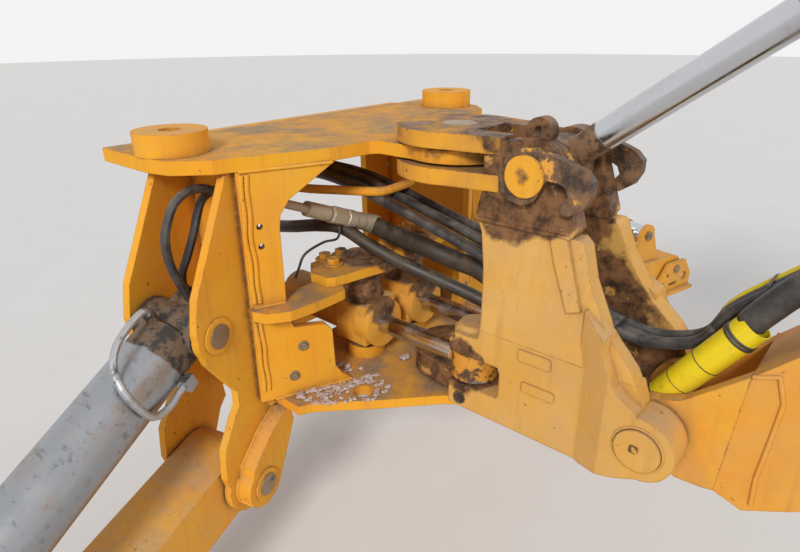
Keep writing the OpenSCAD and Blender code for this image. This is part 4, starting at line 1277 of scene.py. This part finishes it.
@dataclass
class Post:
    """The swing post with its lock hooks."""

    wall_x: float = 150
    # Raised pads on each wall: middle, length and height.
    pads: tuple[Spot, ...] = ((-313, -113, 80, 30), (-327, -186, 80, 25))
    boom_pin: Pair = BOOM_PIN
    pin_end_x: float = 187
    pin_ring_x: float = 180.5
    pin_ring_radius: float = 47
    wall_bolt: Pair = (-128, -285)
    ear_seam: tuple[Point, ...] = ((109.5, -128, 150), (109.5, -240, 150.5), (109.5, -345, 150.5))
    cast_grease: tuple[Spot, ...] = (
        (0.0, -0.849, 0.263, 0.175), (0.0, -0.70, 0.33, 0.09), (0.0, -0.90, 0.10, 0.09),
        (0.0, -0.95, 0.0, 0.11), (0.0, -1.02, -0.08, 0.12), (0.0, -1.08, -0.16, 0.125),
        (0.0, -0.86, -0.05, 0.11), (0.0, -0.95, -0.2, 0.13),
        *mirrored((0.1, -0.73, -0.2, 0.085), (0.12, -0.80, 0.19, 0.08), (0.03, -0.60, -0.25, 0.125)),
    )
    fork_grease: tuple[Spot, ...] = (
        (0.0, -0.76, 0.32, 0.12), (0.09, -0.62, 0.326, 0.05), (-0.07, -0.53, 0.326, 0.04),
    )
    stub_grease: tuple[Spot, ...] = mirrored((0.17, -0.849, 0.263, 0.032))

    def build(self) -> None:
        """Dresses the post and its hooks, and adds pads, bolts and welds."""
        cast = PaintFinish(
            "post paint", colour=(0.72, 0.36, 0.05), pale=(0.74, 0.43, 0.12), dust=(0.56, 0.37, 0.21),
            dust_share=0.3, top_dust=0.45, grain=0.002, rounding=0.007, ragged=0.035, grease=self.cast_grease,
        ).make()
        Maker.dress(["swing_post", "post_head", "boom_pins"], cast)
        fork = PaintFinish(
            "fork paint", colour=(0.78, 0.35, 0.03), dust=(0.24, 0.15, 0.10), dust_share=0.3, top_dust=0.9,
            chip=1.0, grain=0.002, rounding=0.006, scraped=0.9, grease=self.fork_grease,
        )
        Maker.dress(["post_fork"], fork.make())
        hook = GreaseFinish("hook iron", rust=(0.24, 0.125, 0.06), paint_share=0.12)
        Maker.dress(["lock_hooks"], hook.make())
        worn = PaintFinish(
            "worn pin end", dust_share=0.2, chip=1.0, ragged=0.02, scraped=0.6, grease=self.stub_grease,
        )
        Maker.dress(["lift_pin_stubs"], worn.make())
        self.build_details(cast)
        LOG.info("swing post dressed")

    def build_details(self, cast: Material) -> None:
        """Makes the raised pads, the bolts, a dark square of painted shade for each boom pin's square hole,
        and the weld beads on both walls.

        Args:
            cast: The post's paint.
        """
        parts, heads, beads = [], [], []
        pin_y, pin_z = self.boom_pin
        for side in Side:
            out = Vector((side.value, 0, 0))
            along = Vector((0, side.value, 0))
            for y, z, length, height in self.pads:
                size = (length / 1000, height / 1000, 0.0035)
                parts.append(Maker.pad(place(side.value * self.wall_x, y, z), along, UP, size))
            # A thin dark rusty square on the boom pin's end is painted shade, standing for a square hole.
            painted_hole_shade = place(side.value * self.pin_end_x, pin_y + 5, pin_z + 3)
            heads.append(Maker.pad(painted_hole_shade, along, UP, (0.017, 0.017, 0.003)))
            heads.append(Maker.bolt(place(side.value * self.wall_x, *self.wall_bolt), out, 0.022, 0.011, 0.4))
            ring = [place(side.value * self.pin_ring_x, pin_y + self.pin_ring_radius * math.cos(a),
                          pin_z + self.pin_ring_radius * math.sin(a))
                    for a in (2 * math.pi * k / 36 for k in range(37))]
            beads.append(Maker.weld(ring, 0.003, 40 + side.value))
            seam = [place(side.value * x, y, z) for x, y, z in self.ear_seam]
            beads.append(Maker.weld(seam, 0.0055, 44 + side.value))
        Maker.piece("post_pads", parts, cast, "post", "dusty_paint", False)
        rusty = GreaseFinish("rusty bolts").make()
        Maker.piece("post_bolts", heads, rusty, "post", "bare_steel", False)
        Maker.piece("post_welds", beads, cast, "post", "dusty_paint")


@dataclass
class Cylinders:
    """Rods and barrels of every cylinder."""

    swing_eyes: tuple[Spot, ...] = mirrored((0.09, -0.729, -0.208, 0.066))
    lift_eye: Spot = (0.0, -0.849, 0.263, 0.125)
    trunnions: tuple[Spot, ...] = mirrored((0.09, -0.365, -0.1, 0.075), (0.09, -0.44, -0.16, 0.045))
    leg_heads: tuple[Spot, ...] = mirrored((0.571, -0.26, -0.084, 0.125), (0.66, -0.27, -0.12, 0.05))

    def build(self) -> None:
        """Dresses the rods and barrels."""
        chrome = ChromeFinish(
            "swing rod chrome", grease=self.swing_eyes, crust=((0.09, 0.045, 0.02), (0.68, 0.29, 0.03)),
        )
        Maker.dress(["swing_rod_left", "swing_rod_right"], chrome.make())
        Maker.dress(["lift_rod"], ChromeFinish("lift rod chrome", grease=(self.lift_eye,)).make())
        Maker.dress(["stab_rod_left", "stab_rod_right"], ChromeFinish("leg rod chrome").make())
        iron = PaintFinish(
            "cylinder paint", dust_share=0.35, top_dust=0.65, ragged=0.035, grease=self.trunnions,
        )
        Maker.dress(["swing_barrel_left", "swing_barrel_right", "lift_barrel"], iron.make())
        grey = ChromeFinish(
            "scuffed barrel", tint=(0.36, 0.37, 0.39), film=(0.36, 0.22, 0.13), film_share=0.75, wear=0.5,
            grease=self.leg_heads, crust=((0.035, 0.028, 0.024), (0.16, 0.1, 0.06)),
        )
        Maker.dress(["stab_barrel_left", "stab_barrel_right"], grey.make())
        pipe = SteelFinish("scuffed pipe", tint=(0.45, 0.45, 0.46), stain=(0.05, 0.045, 0.04), metal=0.8)
        Maker.dress(["stab_pipe_left", "stab_pipe_right"], pipe.make())
        LOG.info("cylinders dressed")


@dataclass
class Boom:
    """The boom with its foot casting, nose and lugs."""

    # Weld beads at their distance from the boom's middle, along the boom and over it.
    foot_x: float = 98.5
    foot_seam: tuple[Pair, ...] = (
        (223, 30), (262, 14), (240, -30), (182, -84), (120, -140), (80, -186),
    )
    lug_x: float = 47
    lug_seam: tuple[Pair, ...] = ((1690, 287), (1880, 238))
    foot_grease: tuple[Spot, ...] = ((0.0, -1.153, -0.2, 0.085), (0.0, -1.19, -0.1, 0.055))

    def build(self) -> None:
        """Dresses the boom and adds its weld beads."""
        paint = PaintFinish(
            "boom paint", colour=(0.76, 0.27, 0.015), pale=(0.80, 0.36, 0.04), dust_share=0.22, top_dust=0.4,
        ).make()
        Maker.dress(["boom_box", "boom_nose", "boom_lugs"], paint)
        foot = PaintFinish(
            "boom foot paint", colour=(0.74, 0.28, 0.02), dust_share=0.3, grain=0.002, rounding=0.006,
            ragged=0.035, chip=1.0, grease=self.foot_grease,
        )
        Maker.dress(["boom_foot"], foot.make())
        beads = []
        for side in Side:
            for x, seam, width, seed in (
                (self.foot_x, self.foot_seam, 0.0045, 60), (self.lug_x, self.lug_seam, 0.004, 64),
            ):
                line = [on_boom(side.value * x, along, over) for along, over in seam]
                beads.append(Maker.weld(line, width, seed + side.value))
        Maker.piece("boom_welds", beads, paint, "boom", "frame_paint")
        LOG.info("boom dressed")


@dataclass
class Stabilisers:
    """The two legs with their feet."""

    def build(self) -> None:
        """Dresses the legs and feet."""
        paint = PaintFinish("leg paint", dust_share=0.28, top_dust=0.55).make()
        Maker.dress(["leg_left", "leg_right", "foot_left", "foot_right"], paint)
        LOG.info("stabilisers dressed")


def main() -> None:
    """Builds the scene in order and reports each piece."""
    logging.basicConfig(level=logging.INFO)
    PhotoCamera().build()
    Hoses().build()
    Studio().build()
    for assembly in (RearFrame(), Post(), Cylinders(), Boom(), Stabilisers()):
        assembly.build()
    for name in Maker.made:
        LOG.info("%s made", name)


if __name__ == "__main__":
    main()
